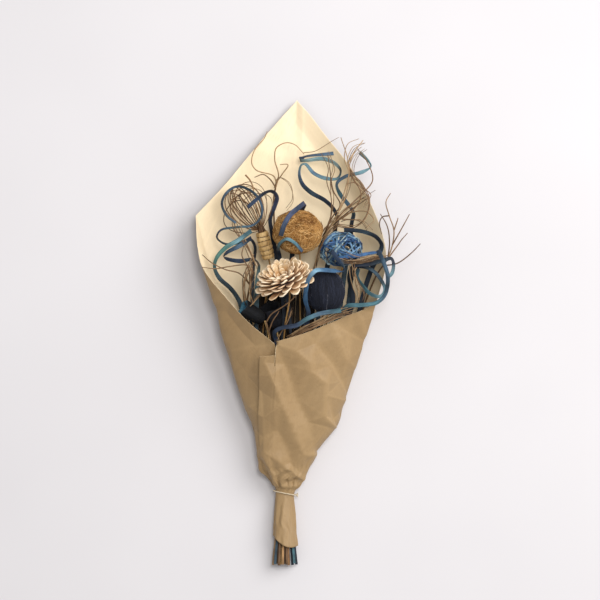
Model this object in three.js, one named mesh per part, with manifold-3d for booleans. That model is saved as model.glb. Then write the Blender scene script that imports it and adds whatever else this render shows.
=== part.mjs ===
// A wrapped bouquet of dried and dyed plant material, lying on its back.
// Millimetres. +X is the bouquet's right, +Y runs from the stem ends to the paper's tip, +Z is up,
// away from the surface it lies on. While it is built, the stem ends are at Y = 0 and the surface is
// at Z = 0; at the end the group is moved so that its origin is the middle of its footprint.
import * as THREE from "three";
import { mergeVertices } from "three/addons/utils/BufferGeometryUtils.js";
import Module from "manifold-3d";

const wasm = await Module();
wasm.setup();

// ---------------------------------------------------------------- driving dimensions
const WRAP_THICKNESS = 0.9; // two or three layers of creased kraft paper
const NECK = { x: -7, y: 95, z: 13.6, halfWidth: 12.5, halfHeight: 10.1 }; // outside of the paper
const NECK_SLANT = -0.2; // the string is pulled down at its right
const SLOT_PITCH = { across: 2.75, up: 2.75 }; // spacing of the stems in the neck
const MOUTH_Y = 260; // where the stems have fanned out, just below the front opening
const ROW_HEIGHTS = [12, 24, 36, 48, 60]; // heights of the five layers of stems at MOUTH_Y
const STEM_RADIUS = 1.2;
const FOOT_RADIUS = 1.9;
const SEAT_GAP = 0.3; // clearance between a stem and the head it carries

const FLOWER = { centre: [-8.5, 377, 84], tiltRight: -21, tiltBack: 60 };
const COIR = { centre: [10, 437, 62], half: [32, 28, 30] };
const NAVY = { centre: [45.5, 360, 72], half: [26, 28, 27] };
const WOVEN = { centre: [65.5, 415, 47], half: [30, 24, 25] };
const WHISK = { base: [-40, 441, 46], direction: [-0.52, 0.855, 0], length: 66, width: 30 };
const HANDLE = { from: [-28, 403, 38], to: [-37, 437, 45], radius: 9.5 };
const LEFT_CUP = { base: [-34, 322, 54], mouth: [-62, 339, 64], mouthRadius: 12 };
const BACK_CUP = { base: [-18, 313, 28], mouth: [-27, 340, 43], mouthRadius: 14.5 };

const CANE = { width: 6.4, thickness: 1.0 };
const CANE_STEM = { width: 2.2, thickness: 2.0 };
const CANE_FOOT = { width: 3.6, thickness: 3.0 };
const TIE_RADIUS = 0.8;

// ---------------------------------------------------------------- colours
const finish = (color, roughness) =>
  new THREE.MeshStandardMaterial({ color, roughness, metalness: 0 });
const KRAFT = finish(0xc9a878, 0.85);
const STRING = finish(0xe9e2d2, 0.8);
const CREAM = finish(0xead6b4, 0.8);
const COIR_BROWN = finish(0xa97a3d, 0.95);
const NAVY_FIBRE = finish(0x23283a, 0.9);
const CANE_BLUE = finish(0x3d6ea6, 0.6);
const CANE_TEAL = finish(0x4d7f86, 0.6);
const CANE_DARK = finish(0x2a3a4e, 0.65);
const TWIG_BROWN = finish(0x8f6f4a, 0.8);
const STEM_TAN = finish(0xb09061, 0.8);
const CUP_NAVY = finish(0x1d2740, 0.75);
const CUP_BLACK = finish(0x17171b, 0.75);

// ---------------------------------------------------------------- closed bodies
const vector = (p) => new THREE.Vector3(p[0], p[1], p[2]);
const mix = (a, b, t) => a + (b - a) * t;
const degrees = (angle) => (angle * Math.PI) / 180;

// Six times the volume that the triangles enclose; negative when they face inwards.
function signedVolume(positions, triangles) {
  let sum = 0;
  for (let i = 0; i < triangles.length; i += 3) {
    const a = positions[triangles[i]];
    const b = positions[triangles[i + 1]];
    const c = positions[triangles[i + 2]];
    sum += a.dot(b.clone().cross(c));
  }
  return sum;
}

// A geometry from points and triangle corners, turned so that its faces point out.
function bodyFrom(positions, triangles) {
  const facing = signedVolume(positions, triangles) < 0 ? [...triangles].reverse() : triangles;
  const geometry = new THREE.BufferGeometry();
  geometry.setAttribute(
    "position",
    new THREE.Float32BufferAttribute(positions.flatMap((p) => [p.x, p.y, p.z]), 3),
  );
  geometry.setIndex(facing);
  return geometry;
}

function solidFrom(geometry) {
  const bare = geometry.clone();
  bare.deleteAttribute("normal");
  bare.deleteAttribute("uv");
  const merged = mergeVertices(bare, 1e-3);
  return new wasm.Manifold(
    new wasm.Mesh({
      numProp: 3,
      vertProperties: merged.attributes.position.array,
      triVerts: new Uint32Array(merged.index.array),
    }),
  );
}

// Joins closed bodies that reach into each other to one body.
function fuse(geometries) {
  let whole = solidFrom(geometries[0]);
  for (const geometry of geometries.slice(1)) whole = whole.add(solidFrom(geometry));
  const mesh = whole.getMesh();
  const geometry = new THREE.BufferGeometry();
  geometry.setAttribute("position", new THREE.Float32BufferAttribute(mesh.vertProperties, 3));
  geometry.setIndex([...mesh.triVerts]);
  return geometry;
}

function triangleCorners(a, b, c, d) {
  return [a, b, c, a, c, d];
}

// Two triangles between four corners, parted along the shorter diagonal, so that the two broad
// faces of a twisted strip stay side by side.
function cornersByDiagonal(positions, a, b, c, d) {
  const first = positions[a].distanceTo(positions[c]);
  const second = positions[b].distanceTo(positions[d]);
  return first <= second ? triangleCorners(a, b, c, d) : triangleCorners(b, c, d, a);
}

// Joins rings of equal point counts to a closed skin with flat ends.
function skinOf(rings) {
  const sides = rings[0].length;
  const positions = rings.flat();
  const triangles = [];
  for (let i = 0; i + 1 < rings.length; i++) {
    for (let k = 0; k < sides; k++) {
      const next = (k + 1) % sides;
      const low = i * sides;
      const high = low + sides;
      triangles.push(...cornersByDiagonal(positions, low + k, low + next, high + next, high + k));
    }
  }
  const last = (rings.length - 1) * sides;
  for (let k = 1; k + 1 < sides; k++) {
    triangles.push(0, k + 1, k);
    triangles.push(last, last + k, last + k + 1);
  }
  return bodyFrom(positions, triangles);
}

// Closes a grid of points, rows of equal length, to a sheet of even thickness.
function sheetOf(grid, thickness) {
  const rows = grid.length;
  const columns = grid[0].length;
  const at = (i, j) => grid[Math.min(Math.max(i, 0), rows - 1)][Math.min(Math.max(j, 0), columns - 1)];
  const front = [];
  const back = [];
  for (let i = 0; i < rows; i++) {
    for (let j = 0; j < columns; j++) {
      const along = at(i + 1, j).clone().sub(at(i - 1, j));
      const across = at(i, j + 1).clone().sub(at(i, j - 1));
      const normal = along.cross(across).setLength(thickness / 2);
      front.push(grid[i][j].clone().add(normal));
      back.push(grid[i][j].clone().sub(normal));
    }
  }
  const count = rows * columns;
  const triangles = [];
  for (let i = 0; i + 1 < rows; i++) {
    for (let j = 0; j + 1 < columns; j++) {
      const a = i * columns + j;
      const corners = triangleCorners(a, a + 1, a + columns + 1, a + columns);
      triangles.push(...corners);
      triangles.push(...corners.map((index) => index + count).reverse());
    }
  }
  const edge = [];
  for (let j = 0; j < columns; j++) edge.push(j);
  for (let i = 1; i < rows; i++) edge.push(i * columns + columns - 1);
  for (let j = columns - 2; j >= 0; j--) edge.push((rows - 1) * columns + j);
  for (let i = rows - 2; i > 0; i--) edge.push(i * columns);
  for (let k = 0; k < edge.length; k++) {
    const a = edge[k];
    const b = edge[(k + 1) % edge.length];
    triangles.push(...triangleCorners(b, a, a + count, b + count));
  }
  return bodyFrom([...front, ...back], triangles);
}

// ---------------------------------------------------------------- strips, stems and strands
const ROD_BEND = 35; // most that a rod turns from one station to the next, in degrees
const STRIP_BEND = 25;

// Stations along a smooth path: one at each point, and more between where the path bends. Each has
// two cross axes: one level with the surface the bouquet lies on, one square to that and to the path.
// The level axis keeps its side from one station to the next, also where the path stands upright.
function stationsAlong(points, bend) {
  const curve = new THREE.CatmullRomCurve3(points.map(vector), false, "centripetal");
  const finer = 10;
  const steps = (points.length - 1) * finer;
  const kept = [];
  let turned = 0;
  let previous = curve.getTangent(0);
  for (let i = 0; i <= steps; i++) {
    const t = i / steps;
    const tangent = curve.getTangent(t);
    turned += THREE.MathUtils.radToDeg(tangent.angleTo(previous));
    previous = tangent;
    if (i % finer === 0 || turned >= bend) {
      const place = curve.getPoint(t);
      const level = tangent.clone().cross(new THREE.Vector3(0, 0, 1)).normalize();
      if (kept.length > 0 && level.dot(kept[kept.length - 1].level) < 0) level.negate();
      const upward = level.clone().cross(tangent).normalize();
      kept.push({ place, tangent, level, upward, index: t * (points.length - 1) });
      turned = 0;
    }
  }
  return kept;
}

// A round stem or strand, with its radius given for each place along it.
function rod(points, radiusAt, sides) {
  const stations = stationsAlong(points, ROD_BEND);
  const rings = stations.map(({ place, level, upward, index }) => {
    const radius = radiusAt(index);
    const ring = [];
    for (let k = 0; k < sides; k++) {
      const angle = (k / sides) * 2 * Math.PI + Math.PI / 2;
      const corner = place.clone();
      corner.addScaledVector(level, Math.cos(angle) * radius);
      corner.addScaledVector(upward, Math.sin(angle) * radius);
      ring.push(corner);
    }
    return ring;
  });
  return skinOf(rings);
}

// A stem is thick at its foot and thin from the neck on, and may run out thinner still.
function stemRadius(lastIndex, endRadius) {
  return (index) => {
    const aboveFoot = THREE.MathUtils.clamp(index, 0, 1);
    return mix(FOOT_RADIUS, mix(STEM_RADIUS, endRadius, index / lastIndex), aboveFoot);
  };
}

// A flat cane strip. The fourth number of a point is the turn of its flat side, in degrees:
// 0 stands on edge, 90 lies flat. Up to the point number stemEnd it is a narrow stem.
function strip(points, stemEnd) {
  const stations = stationsAlong(points, STRIP_BEND);
  const rings = stations.map(({ place, tangent, level, upward, index }) => {
    const low = Math.floor(index);
    const high = Math.min(low + 1, points.length - 1);
    const turn = degrees(mix(points[low][3], points[high][3], index - low));
    const opened = THREE.MathUtils.clamp(index - stemEnd, 0, 1);
    const aboveFoot = stemEnd > 0 ? THREE.MathUtils.clamp(index, 0, 1) : 1;
    const stemWidth = mix(CANE_FOOT.width, CANE_STEM.width, aboveFoot);
    const stemThickness = mix(CANE_FOOT.thickness, CANE_STEM.thickness, aboveFoot);
    const halfWidth = mix(stemWidth, CANE.width, opened) / 2;
    const halfThickness = mix(stemThickness, CANE.thickness, opened) / 2;
    const wide = upward.clone().multiplyScalar(Math.cos(turn));
    wide.addScaledVector(level, Math.sin(turn));
    const thick = wide.clone().cross(tangent).normalize();
    const corners = [[-1, -1], [1, -1], [1, 1], [-1, 1]];
    return corners.map(([w, t]) =>
      place.clone().addScaledVector(wide, w * halfWidth).addScaledVector(thick, t * halfThickness),
    );
  });
  return skinOf(rings);
}

// The stem from the foot of the bundle through its slot in the neck to its place at the mouth.
const FOOT_SPREAD = { across: 1.85, up: 1.55 };
const FOOT_UNEVEN = 2.5;
const FOOT_STEPS = 5; // the stems are cut off at this many lengths
const STEM_TURN = 90;
const NECK_RUN = 10; // the stems run parallel this far on each side of the tie
let stemCount = 0;

function stemStart(row, column, mouthX) {
  const across = column * SLOT_PITCH.across;
  const up = (row - 2) * SLOT_PITCH.up;
  const slot = [NECK.x + across, NECK.z + up];
  const mouth = [mouthX, ROW_HEIGHTS[row]];
  const foot = ((stemCount * 7) % FOOT_STEPS) * (FOOT_UNEVEN / (FOOT_STEPS - 1));
  stemCount += 1;
  const after = NECK.y + NECK_RUN;
  const fanned = NECK_RUN / (MOUTH_Y - NECK.y);
  return [
    [NECK.x + across * FOOT_SPREAD.across, foot, NECK.z + up * FOOT_SPREAD.up, STEM_TURN],
    [slot[0], NECK.y - NECK_RUN, slot[1], STEM_TURN],
    [mix(slot[0], mouth[0], fanned), after, mix(slot[1], mouth[1], fanned), STEM_TURN],
    [mouth[0], MOUTH_Y, mouth[1], STEM_TURN],
  ];
}
const STEM_POINTS = 3; // index of the mouth point

const bouquet = new THREE.Group();

function addPiece(name, geometry, material) {
  const mesh = new THREE.Mesh(geometry, material.clone());
  mesh.name = name;
  bouquet.add(mesh);
  return mesh;
}

// ---------------------------------------------------------------- paper wrap
// Going round from the hidden left edge, over the front, the left side, the back and the right side
// to the free edge of the right flap: the angle round the neck, and where the sheet's edge lies.
const WRAP_EDGE = [
  { round: -6, edge: [-21, 291, 82] },
  { round: 30, edge: [-52, 317.5, 78] },
  { round: 60, edge: [-83, 351, 70] },
  { round: 88, edge: [-113, 390, 58] },
  { round: 102, edge: [-121, 426, 49] },
  { round: 115, edge: [-123, 459, 38] },
  { round: 130, edge: [-81, 504, 24] },
  { round: 148, edge: [-36, 560, 12] },
  { round: 172, edge: [9, 612, 7] },
  { round: 184, edge: [27, 592, 8] },
  { round: 198, edge: [48, 563, 11] },
  { round: 212, edge: [78, 524, 20] },
  { round: 226, edge: [104, 478, 33] },
  { round: 240, edge: [121, 433, 45] },
  { round: 252, edge: [125, 398, 53] },
  { round: 262, edge: [117, 361, 60] },
  { round: 272, edge: [107, 342, 62] },
  { round: 300, edge: [72, 327, 74] },
  { round: 340, edge: [26, 308, 83] },
  { round: 384, edge: [-17, 295, 87] },
  { round: 391, edge: [-18, 277, 87] },
  { round: 418, edge: [-40, 275, 86] },
];
const WRAP_COLUMNS_BETWEEN = 2; // columns of the grid from one edge point to the next
const WRAP_RISE = [0.14, 0.28, 0.42, 0.56, 0.7, 0.82, 0.92, 1]; // rows from the shoulder to the edge
const SECTION_POWER = 2.6; // how square the rings of the neck are
const PLEATS = 9;
const FLAP_LIFT = 0.8; // the flaps part by twice this where they overlap
const LEFT_FLAP_END = 100; // angles between which neither flap is lifted
const RIGHT_FLAP_START = 300;
const FLAP_EASE = 30;
const BACK_SETTLE = 2; // how far the back sinks below the shoulder's round to lie flat
const BACK_FLAT_SHARE = 0.8; // share of the back's length that lies flat
const BACK_FLAT_ANGLE = { full: 40, none: 75 }; // from the middle of the back

// Rings from the hem of the skirt up to the shoulder.
const WRAP_RINGS = [
  { x: -6.4, y: 30, slant: -0.42, z: 14.4, halfWidth: 15.6, halfHeight: 13, pleat: 1 },
  { x: -6.8, y: 62, slant: -0.1, z: 13.9, halfWidth: 14.3, halfHeight: 11.1, pleat: 0.9 },
  { x: -7, y: 95, slant: NECK_SLANT, z: 13.6, halfWidth: 12.05, halfHeight: 9.65, pleat: 0.1 },
  { x: -6, y: 106, slant: -0.06, z: 14.6, halfWidth: 16.4, halfHeight: 12, pleat: 1.4 },
  { x: -6, y: 117, slant: 0.06, z: 17.4, halfWidth: 23.6, halfHeight: 16, pleat: 1.4 },
  { x: -5.8, y: 136.6, slant: 0.197, z: 20.6, halfWidth: 34.8, halfHeight: 20.1, pleat: 0.7 },
  { x: 6.9, y: 177.9, slant: 0.082, z: 26.8, halfWidth: 54.3, halfHeight: 26.3, pleat: 0 },
];

function powerOf(value, power) {
  return Math.sign(value) * Math.abs(value) ** power;
}

// How far a column is lifted off the other flap: the left one inwards, the right one outwards.
function flapLift(round) {
  if (round < LEFT_FLAP_END) return -FLAP_LIFT * Math.min(1, (LEFT_FLAP_END - round) / FLAP_EASE);
  if (round > RIGHT_FLAP_START) return FLAP_LIFT * Math.min(1, (round - RIGHT_FLAP_START) / FLAP_EASE);
  return 0;
}

function wrapRingPoint(ring, round) {
  const angle = degrees(round);
  const power = 2 / SECTION_POWER;
  const pleat = ring.pleat * (0.5 + 0.5 * Math.cos(PLEATS * angle));
  const lift = flapLift(round);
  const halfHeight = ring.halfHeight + pleat * Math.max(0, Math.cos(angle)) + lift;
  const across = -powerOf(Math.sin(angle), power) * (ring.halfWidth + pleat + lift);
  const up = powerOf(Math.cos(angle), power) * halfHeight;
  return new THREE.Vector3(ring.x + across, ring.y + ring.slant * across, ring.z + up);
}

// The back of the sheet lies flat and only curls up near its edge; its sides rise evenly.
function backShare(round) {
  const { full, none } = BACK_FLAT_ANGLE;
  return THREE.MathUtils.clamp((none - Math.abs(round - 180)) / (none - full), 0, 1);
}

function wrapColumns() {
  const columns = [];
  for (let i = 0; i + 1 < WRAP_EDGE.length; i++) {
    for (let k = 0; k < WRAP_COLUMNS_BETWEEN; k++) {
      const t = k / WRAP_COLUMNS_BETWEEN;
      const from = WRAP_EDGE[i];
      const to = WRAP_EDGE[i + 1];
      const edge = vector(from.edge).lerp(vector(to.edge), t);
      columns.push({ round: mix(from.round, to.round, t), edge });
    }
  }
  const last = WRAP_EDGE[WRAP_EDGE.length - 1];
  columns.push({ round: last.round, edge: vector(last.edge) });
  return columns;
}

function wrapGrid() {
  const lowest = WRAP_THICKNESS / 2;
  const shoulder = WRAP_RINGS[WRAP_RINGS.length - 1];
  const columns = wrapColumns();
  const settle = (point) => {
    point.z = Math.max(point.z, lowest);
    return point;
  };
  const grid = WRAP_RINGS.map((ring) => columns.map(({ round }) => settle(wrapRingPoint(ring, round))));
  for (const rise of WRAP_RISE) {
    grid.push(
      columns.map(({ round, edge }) => {
        const start = wrapRingPoint(shoulder, round);
        const back = backShare(round);
        const flat = BACK_FLAT_SHARE * back;
        const climb = Math.max(0, (rise - flat) / (1 - flat)) ** (1 + 2 * flat);
        const point = start.clone().lerp(edge, rise);
        point.z = mix(start.z - BACK_SETTLE * back, edge.z + flapLift(round), climb);
        return settle(point);
      }),
    );
  }
  return grid;
}

addPiece("paper_wrap", sheetOf(wrapGrid(), WRAP_THICKNESS), KRAFT);

// ---------------------------------------------------------------- neck tie
// A loop of string round the neck with a small knot at its right.
const TIE_STEPS = 24;
const TIE_SIDES = 5;
const TIE_REACH = TIE_RADIUS + SEAT_GAP + 0.35; // from the paper to the string's middle
const KNOT = { radius: 2.1, out: 1.3, segments: 8, bands: 5 }; // out from the string's middle

function neckTie() {
  const rings = [];
  for (let i = 0; i <= TIE_STEPS; i++) {
    const angle = (i / TIE_STEPS) * 2 * Math.PI;
    const power = 2 / SECTION_POWER;
    const across = powerOf(Math.cos(angle), power) * (NECK.halfWidth + TIE_REACH + FLAP_LIFT);
    const overSeam = Math.sin(angle) > 0 ? FLAP_LIFT : 0;
    const up = powerOf(Math.sin(angle), power) * (NECK.halfHeight + TIE_REACH + overSeam);
    rings.push(new THREE.Vector3(NECK.x + across, NECK.y + NECK_SLANT * across, NECK.z + up));
  }
  const neck = new THREE.Vector3(NECK.x, NECK.y, NECK.z);
  const positions = [];
  const triangles = [];
  for (let i = 0; i < TIE_STEPS; i++) {
    const outward = rings[i].clone().sub(neck).setY(0).normalize();
    for (let k = 0; k < TIE_SIDES; k++) {
      const angle = (k / TIE_SIDES) * 2 * Math.PI;
      const point = rings[i].clone();
      point.addScaledVector(outward, Math.cos(angle) * TIE_RADIUS);
      point.y += Math.sin(angle) * TIE_RADIUS;
      positions.push(point);
      const next = ((i + 1) % TIE_STEPS) * TIE_SIDES;
      const nextSide = (k + 1) % TIE_SIDES;
      triangles.push(
        ...triangleCorners(i * TIE_SIDES + k, i * TIE_SIDES + nextSide, next + nextSide, next + k),
      );
    }
  }
  const knot = new THREE.SphereGeometry(KNOT.radius, KNOT.segments, KNOT.bands);
  knot.translate(rings[0].x + KNOT.out, rings[0].y, rings[0].z);
  return fuse([bodyFrom(positions, triangles), knot]);
}

addPiece("neck_tie", neckTie(), STRING);

// ---------------------------------------------------------------- sola flower
// Layers of thick spoon-shaped petals round a domed heart.
const PETAL_LAYERS = [
  { count: 12, root: 7, length: 34, width: 14, rise: -4, depth: 0, columns: 3 },
  { count: 11, root: 6, length: 31, width: 13, rise: 12, depth: 2, columns: 3 },
  { count: 9, root: 5, length: 26, width: 12, rise: 28, depth: 4, columns: 2 },
  { count: 7, root: 4, length: 20, width: 10, rise: 46, depth: 5, columns: 2 },
  { count: 5, root: 3, length: 15, width: 9, rise: 64, depth: 6, columns: 2 },
  { count: 3, root: 1.5, length: 11, width: 8, rise: 80, depth: 7, columns: 2 },
];
const PETAL_THICKNESS = 1.5;
const PETAL_OUTLINE = [
  { along: 0, wide: 0.24 },
  { along: 0.5, wide: 0.85 },
  { along: 0.82, wide: 1 },
  { along: 1, wide: 0.5 },
];
const PETAL_CUP = 0.16; // how far the sides stand up, as a share of the width
const PETAL_CURL = 0.1; // how far the tip stands up, as a share of the length
const PETAL_ROLL = 7; // each petal lies over the next, in degrees
const PETAL_UNEVEN = 3;
const HEART = { radius: 8, stretch: 1.25, segments: 12, bands: 8 };
const CALYX = { radius: 7, stemRadius: 3, length: 12, segments: 10 };

function petal(layer) {
  const grid = PETAL_OUTLINE.map(({ along, wide }) => {
    const row = [];
    for (let j = 0; j < layer.columns; j++) {
      const side = (2 * j) / (layer.columns - 1) - 1;
      const cup = layer.columns > 2 ? PETAL_CUP * layer.width * side * side * wide : 0;
      const curl = PETAL_CURL * layer.length * along * along;
      row.push(
        new THREE.Vector3(along * layer.length, (side * wide * layer.width) / 2, cup + curl),
      );
    }
    return row;
  });
  return sheetOf(grid, PETAL_THICKNESS);
}

function flowerFrame() {
  const turned = new THREE.Matrix4().makeRotationZ(degrees(-FLOWER.tiltRight));
  const tilted = new THREE.Matrix4().makeRotationX(degrees(-FLOWER.tiltBack));
  const placed = new THREE.Matrix4().makeTranslation(...FLOWER.centre);
  return placed.multiply(turned).multiply(tilted);
}

// Built with its face towards +Z, then tilted back.
function solaFlower() {
  const heart = new THREE.SphereGeometry(HEART.radius, HEART.segments, HEART.bands);
  heart.scale(1, 1, HEART.stretch);
  const { radius, stemRadius: endRadius, length, segments } = CALYX;
  const calyx = new THREE.CylinderGeometry(radius, endRadius, length, segments);
  calyx.rotateX(Math.PI / 2);
  calyx.translate(0, 0, -length / 2);
  const pieces = [heart, calyx];
  PETAL_LAYERS.forEach((layer, number) => {
    for (let k = 0; k < layer.count; k++) {
      const round = ((k + 0.5 * (number % 2)) / layer.count) * 2 * Math.PI;
      const uneven = degrees(PETAL_UNEVEN * Math.sin(5 * k + 2 * number));
      const leaf = petal(layer);
      leaf.rotateX(degrees(PETAL_ROLL));
      leaf.rotateY(-degrees(layer.rise) - uneven);
      leaf.translate(layer.root, 0, layer.depth);
      leaf.rotateZ(round);
      pieces.push(leaf);
    }
  });
  const flower = fuse(pieces);
  flower.applyMatrix4(flowerFrame());
  return flower;
}

function flowerPoint(x, y, z) {
  return new THREE.Vector3(x, y, z).applyMatrix4(flowerFrame());
}

addPiece("sola_flower", solaFlower(), CREAM);

// ---------------------------------------------------------------- balls
// A ball whose surface stands up and down by a formula of its two angles.
function reliefBall(ball, segments, bands, relief) {
  const geometry = new THREE.SphereGeometry(1, segments, bands);
  geometry.deleteAttribute("normal");
  geometry.deleteAttribute("uv");
  const merged = mergeVertices(geometry, 1e-4);
  const position = merged.attributes.position;
  for (let i = 0; i < position.count; i++) {
    const point = new THREE.Vector3().fromBufferAttribute(position, i);
    const round = Math.atan2(point.z, point.x);
    const height = Math.asin(THREE.MathUtils.clamp(point.y, -1, 1));
    const scale = 1 + relief(round, height);
    position.setXYZ(i, point.x * scale, point.y * scale, point.z * scale);
  }
  merged.scale(...ball.half);
  merged.translate(...ball.centre);
  return merged;
}

const coirRelief = (round, height) =>
  0.018 * Math.sin(9 * round + 6 * height) * Math.cos(height) +
  0.016 * Math.sin(7 * height - 5 * round);
addPiece("coir_ball", reliefBall(COIR, 28, 15, coirRelief), COIR_BROWN);

// The strands run from pole to pole, so every other line of points stands in.
const NAVY_STRANDS = 20;
const navyRelief = (round, height) =>
  -0.022 * (0.5 - 0.5 * Math.cos(NAVY_STRANDS * round)) * Math.cos(height);
addPiece("navy_ball", reliefBall(NAVY, NAVY_STRANDS * 2, 10, navyRelief), NAVY_FIBRE);

// Hoops of cane strip, laid round each other in many directions, and one loose end to the right.
const HOOPS = [
  { lean: 8, round: 0, scale: 1 },
  { lean: 35, round: 70, scale: 0.985 },
  { lean: 52, round: 150, scale: 0.97 },
  { lean: 64, round: 20, scale: 1 },
  { lean: 78, round: 100, scale: 0.985 },
  { lean: 88, round: 55, scale: 0.97 },
  { lean: 84, round: 155, scale: 1 },
];
const HOOP_STEPS = 12;
const HOOP_STRIP = { width: 4.6, thickness: 1.4 };

function hoop({ lean, round, scale }) {
  const positions = [];
  const triangles = [];
  const halfWidth = HOOP_STRIP.width / 2;
  const mean = (WOVEN.half[0] + WOVEN.half[1] + WOVEN.half[2]) / 3;
  for (let i = 0; i < HOOP_STEPS; i++) {
    const angle = (i / HOOP_STEPS) * 2 * Math.PI;
    for (const [depth, side] of [[0, -1], [0, 1], [1, 1], [1, -1]]) {
      const reach = mean * scale - depth * HOOP_STRIP.thickness;
      positions.push(
        new THREE.Vector3(Math.cos(angle) * reach, Math.sin(angle) * reach, side * halfWidth),
      );
    }
    const low = i * 4;
    const high = ((i + 1) % HOOP_STEPS) * 4;
    for (let k = 0; k < 4; k++) {
      const next = (k + 1) % 4;
      triangles.push(...triangleCorners(low + k, low + next, high + next, high + k));
    }
  }
  const geometry = bodyFrom(positions, triangles);
  geometry.rotateX(degrees(lean));
  geometry.rotateZ(degrees(round));
  geometry.scale(WOVEN.half[0] / mean, WOVEN.half[1] / mean, WOVEN.half[2] / mean);
  geometry.translate(...WOVEN.centre);
  return geometry;
}

const LOOSE_END = [
  [58, 403, 66, 70],
  [71, 404, 71, 75],
  [88, 406, 74, 75],
  [104, 409, 73, 60],
  [119, 411, 72, 60],
];
addPiece("woven_ball", fuse([...HOOPS.map(hoop), strip(LOOSE_END, -1)]), CANE_BLUE);

// ---------------------------------------------------------------- whisk of cane loops
function turnFromY(direction) {
  return new THREE.Quaternion().setFromUnitVectors(new THREE.Vector3(0, 1, 0), direction);
}

// Drop-shaped loops that spread from one point and cross at the far end.
const LOOPS = 8;
const LOOP_STEPS = 14;
const LOOP_STRIP = { width: 1.7, thickness: 1.3 };
const LOOP_LENGTH = { least: 0.78, more: 0.22 }; // shares of the whisk's length
const LOOP_WIDTH = { least: 0.72, more: 0.26 }; // shares of the whisk's width
const LOOP_DROP = { near: 0.55, far: 0.45 }; // a loop is narrow at its foot and round at its far end
const LOOP_UNEVEN = 8; // degrees
const GATHERED = { radius: 4.5, inset: 2.5, length: 10, segments: 8 };

function whiskLoop(number) {
  const along = vector(WHISK.direction).normalize();
  const level = new THREE.Vector3(0, 0, 1).cross(along).normalize();
  const spin = degrees((number * 180) / LOOPS + LOOP_UNEVEN * Math.sin(3 * number));
  const side = level.multiplyScalar(Math.cos(spin)).add(new THREE.Vector3(0, 0, Math.sin(spin)));
  const longer = LOOP_LENGTH.more * Math.abs(Math.sin(2.1 * number + 1));
  const wider = LOOP_WIDTH.more * Math.abs(Math.cos(1.7 * number));
  const length = WHISK.length * (LOOP_LENGTH.least + longer);
  const width = WHISK.width * (LOOP_WIDTH.least + wider);
  const across = along.clone().cross(side);
  const rings = [];
  for (let i = 0; i <= LOOP_STEPS; i++) {
    const t = (i / LOOP_STEPS) * 2 * Math.PI;
    const out = (1 - Math.cos(t)) / 2;
    const drop = LOOP_DROP.near + LOOP_DROP.far * out;
    const swing = Math.sin(t) * drop;
    const swingRate = Math.cos(t) * drop + (LOOP_DROP.far / 2) * Math.sin(t) ** 2;
    const place = vector(WHISK.base);
    place.addScaledVector(along, out * length).addScaledVector(side, swing * width);
    const tangent = along.clone().multiplyScalar((Math.sin(t) / 2) * length);
    tangent.addScaledVector(side, swingRate * width);
    const thick = tangent.normalize().clone().cross(across).normalize();
    const corners = [[-1, -1], [1, -1], [1, 1], [-1, 1]];
    rings.push(
      corners.map(([w, d]) =>
        place
          .clone()
          .addScaledVector(across, (w * LOOP_STRIP.width) / 2)
          .addScaledVector(thick, (d * LOOP_STRIP.thickness) / 2),
      ),
    );
  }
  return skinOf(rings);
}

function loopWhisk() {
  const { radius, inset, length, segments } = GATHERED;
  const gathered = new THREE.CylinderGeometry(radius, HANDLE.radius - inset, length, segments);
  const along = vector(HANDLE.to).sub(vector(HANDLE.from)).normalize();
  gathered.applyQuaternion(turnFromY(along));
  const centre = vector(HANDLE.to).addScaledVector(along, SEAT_GAP + length / 2);
  gathered.translate(centre.x, centre.y, centre.z);
  const loops = [];
  for (let k = 0; k < LOOPS; k++) loops.push(whiskLoop(k));
  return fuse([gathered, ...loops]);
}

addPiece("loop_whisk", loopWhisk(), TWIG_BROWN);

// The sleeve that holds the gathered ends, wound with dark thread.
const THREAD_TURNS = 6;
const SLEEVE = { belly: 1.2, endInset: 2, groove: 1, segments: 12 };
const SLEEVE_BAND = { swell: -0.2, groove: 0.25 }; // from a band's middle, as shares of its length

function whiskHandle() {
  const from = vector(HANDLE.from);
  const to = vector(HANDLE.to);
  const length = from.distanceTo(to);
  const band = length / THREAD_TURNS;
  const endRadius = HANDLE.radius - SLEEVE.endInset;
  const profile = [new THREE.Vector2(0, 0), new THREE.Vector2(endRadius, 0)];
  for (let k = 0; k < THREAD_TURNS; k++) {
    const share = (k + 0.5) / THREAD_TURNS;
    const swell = HANDLE.radius - SLEEVE.belly * (1 - Math.sin(share * Math.PI));
    profile.push(new THREE.Vector2(swell, share * length + SLEEVE_BAND.swell * band));
    profile.push(new THREE.Vector2(swell - SLEEVE.groove, share * length + SLEEVE_BAND.groove * band));
  }
  profile.push(new THREE.Vector2(endRadius, length));
  profile.push(new THREE.Vector2(0, length));
  const sleeve = new THREE.LatheGeometry(profile, SLEEVE.segments);
  sleeve.applyQuaternion(turnFromY(to.sub(from).normalize()));
  sleeve.translate(from.x, from.y, from.z);
  return sleeve;
}

addPiece("whisk_handle", whiskHandle(), STEM_TAN);

// ---------------------------------------------------------------- bell cups
// A thin-walled dried cup with a flared mouth, as a closed profile turned round its axis.
const CUP_WALL = 1.4;
const CUP_SEGMENTS = 14;
const CUP_OUTSIDE = [ // radius as a share of the mouth's, and height as a share of the length
  [0, 0], [0.36, 0], [0.7, 0.16], [0.84, 0.45], [0.9, 0.8], [1, 1],
];
const CUP_INSIDE = [ // the same, before the wall's thickness is taken off the radius
  [1, 1], [0.9, 0.8], [0.84, 0.45], [0.5, 0.2],
];
const CUP_FLOOR = 0.14;

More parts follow.
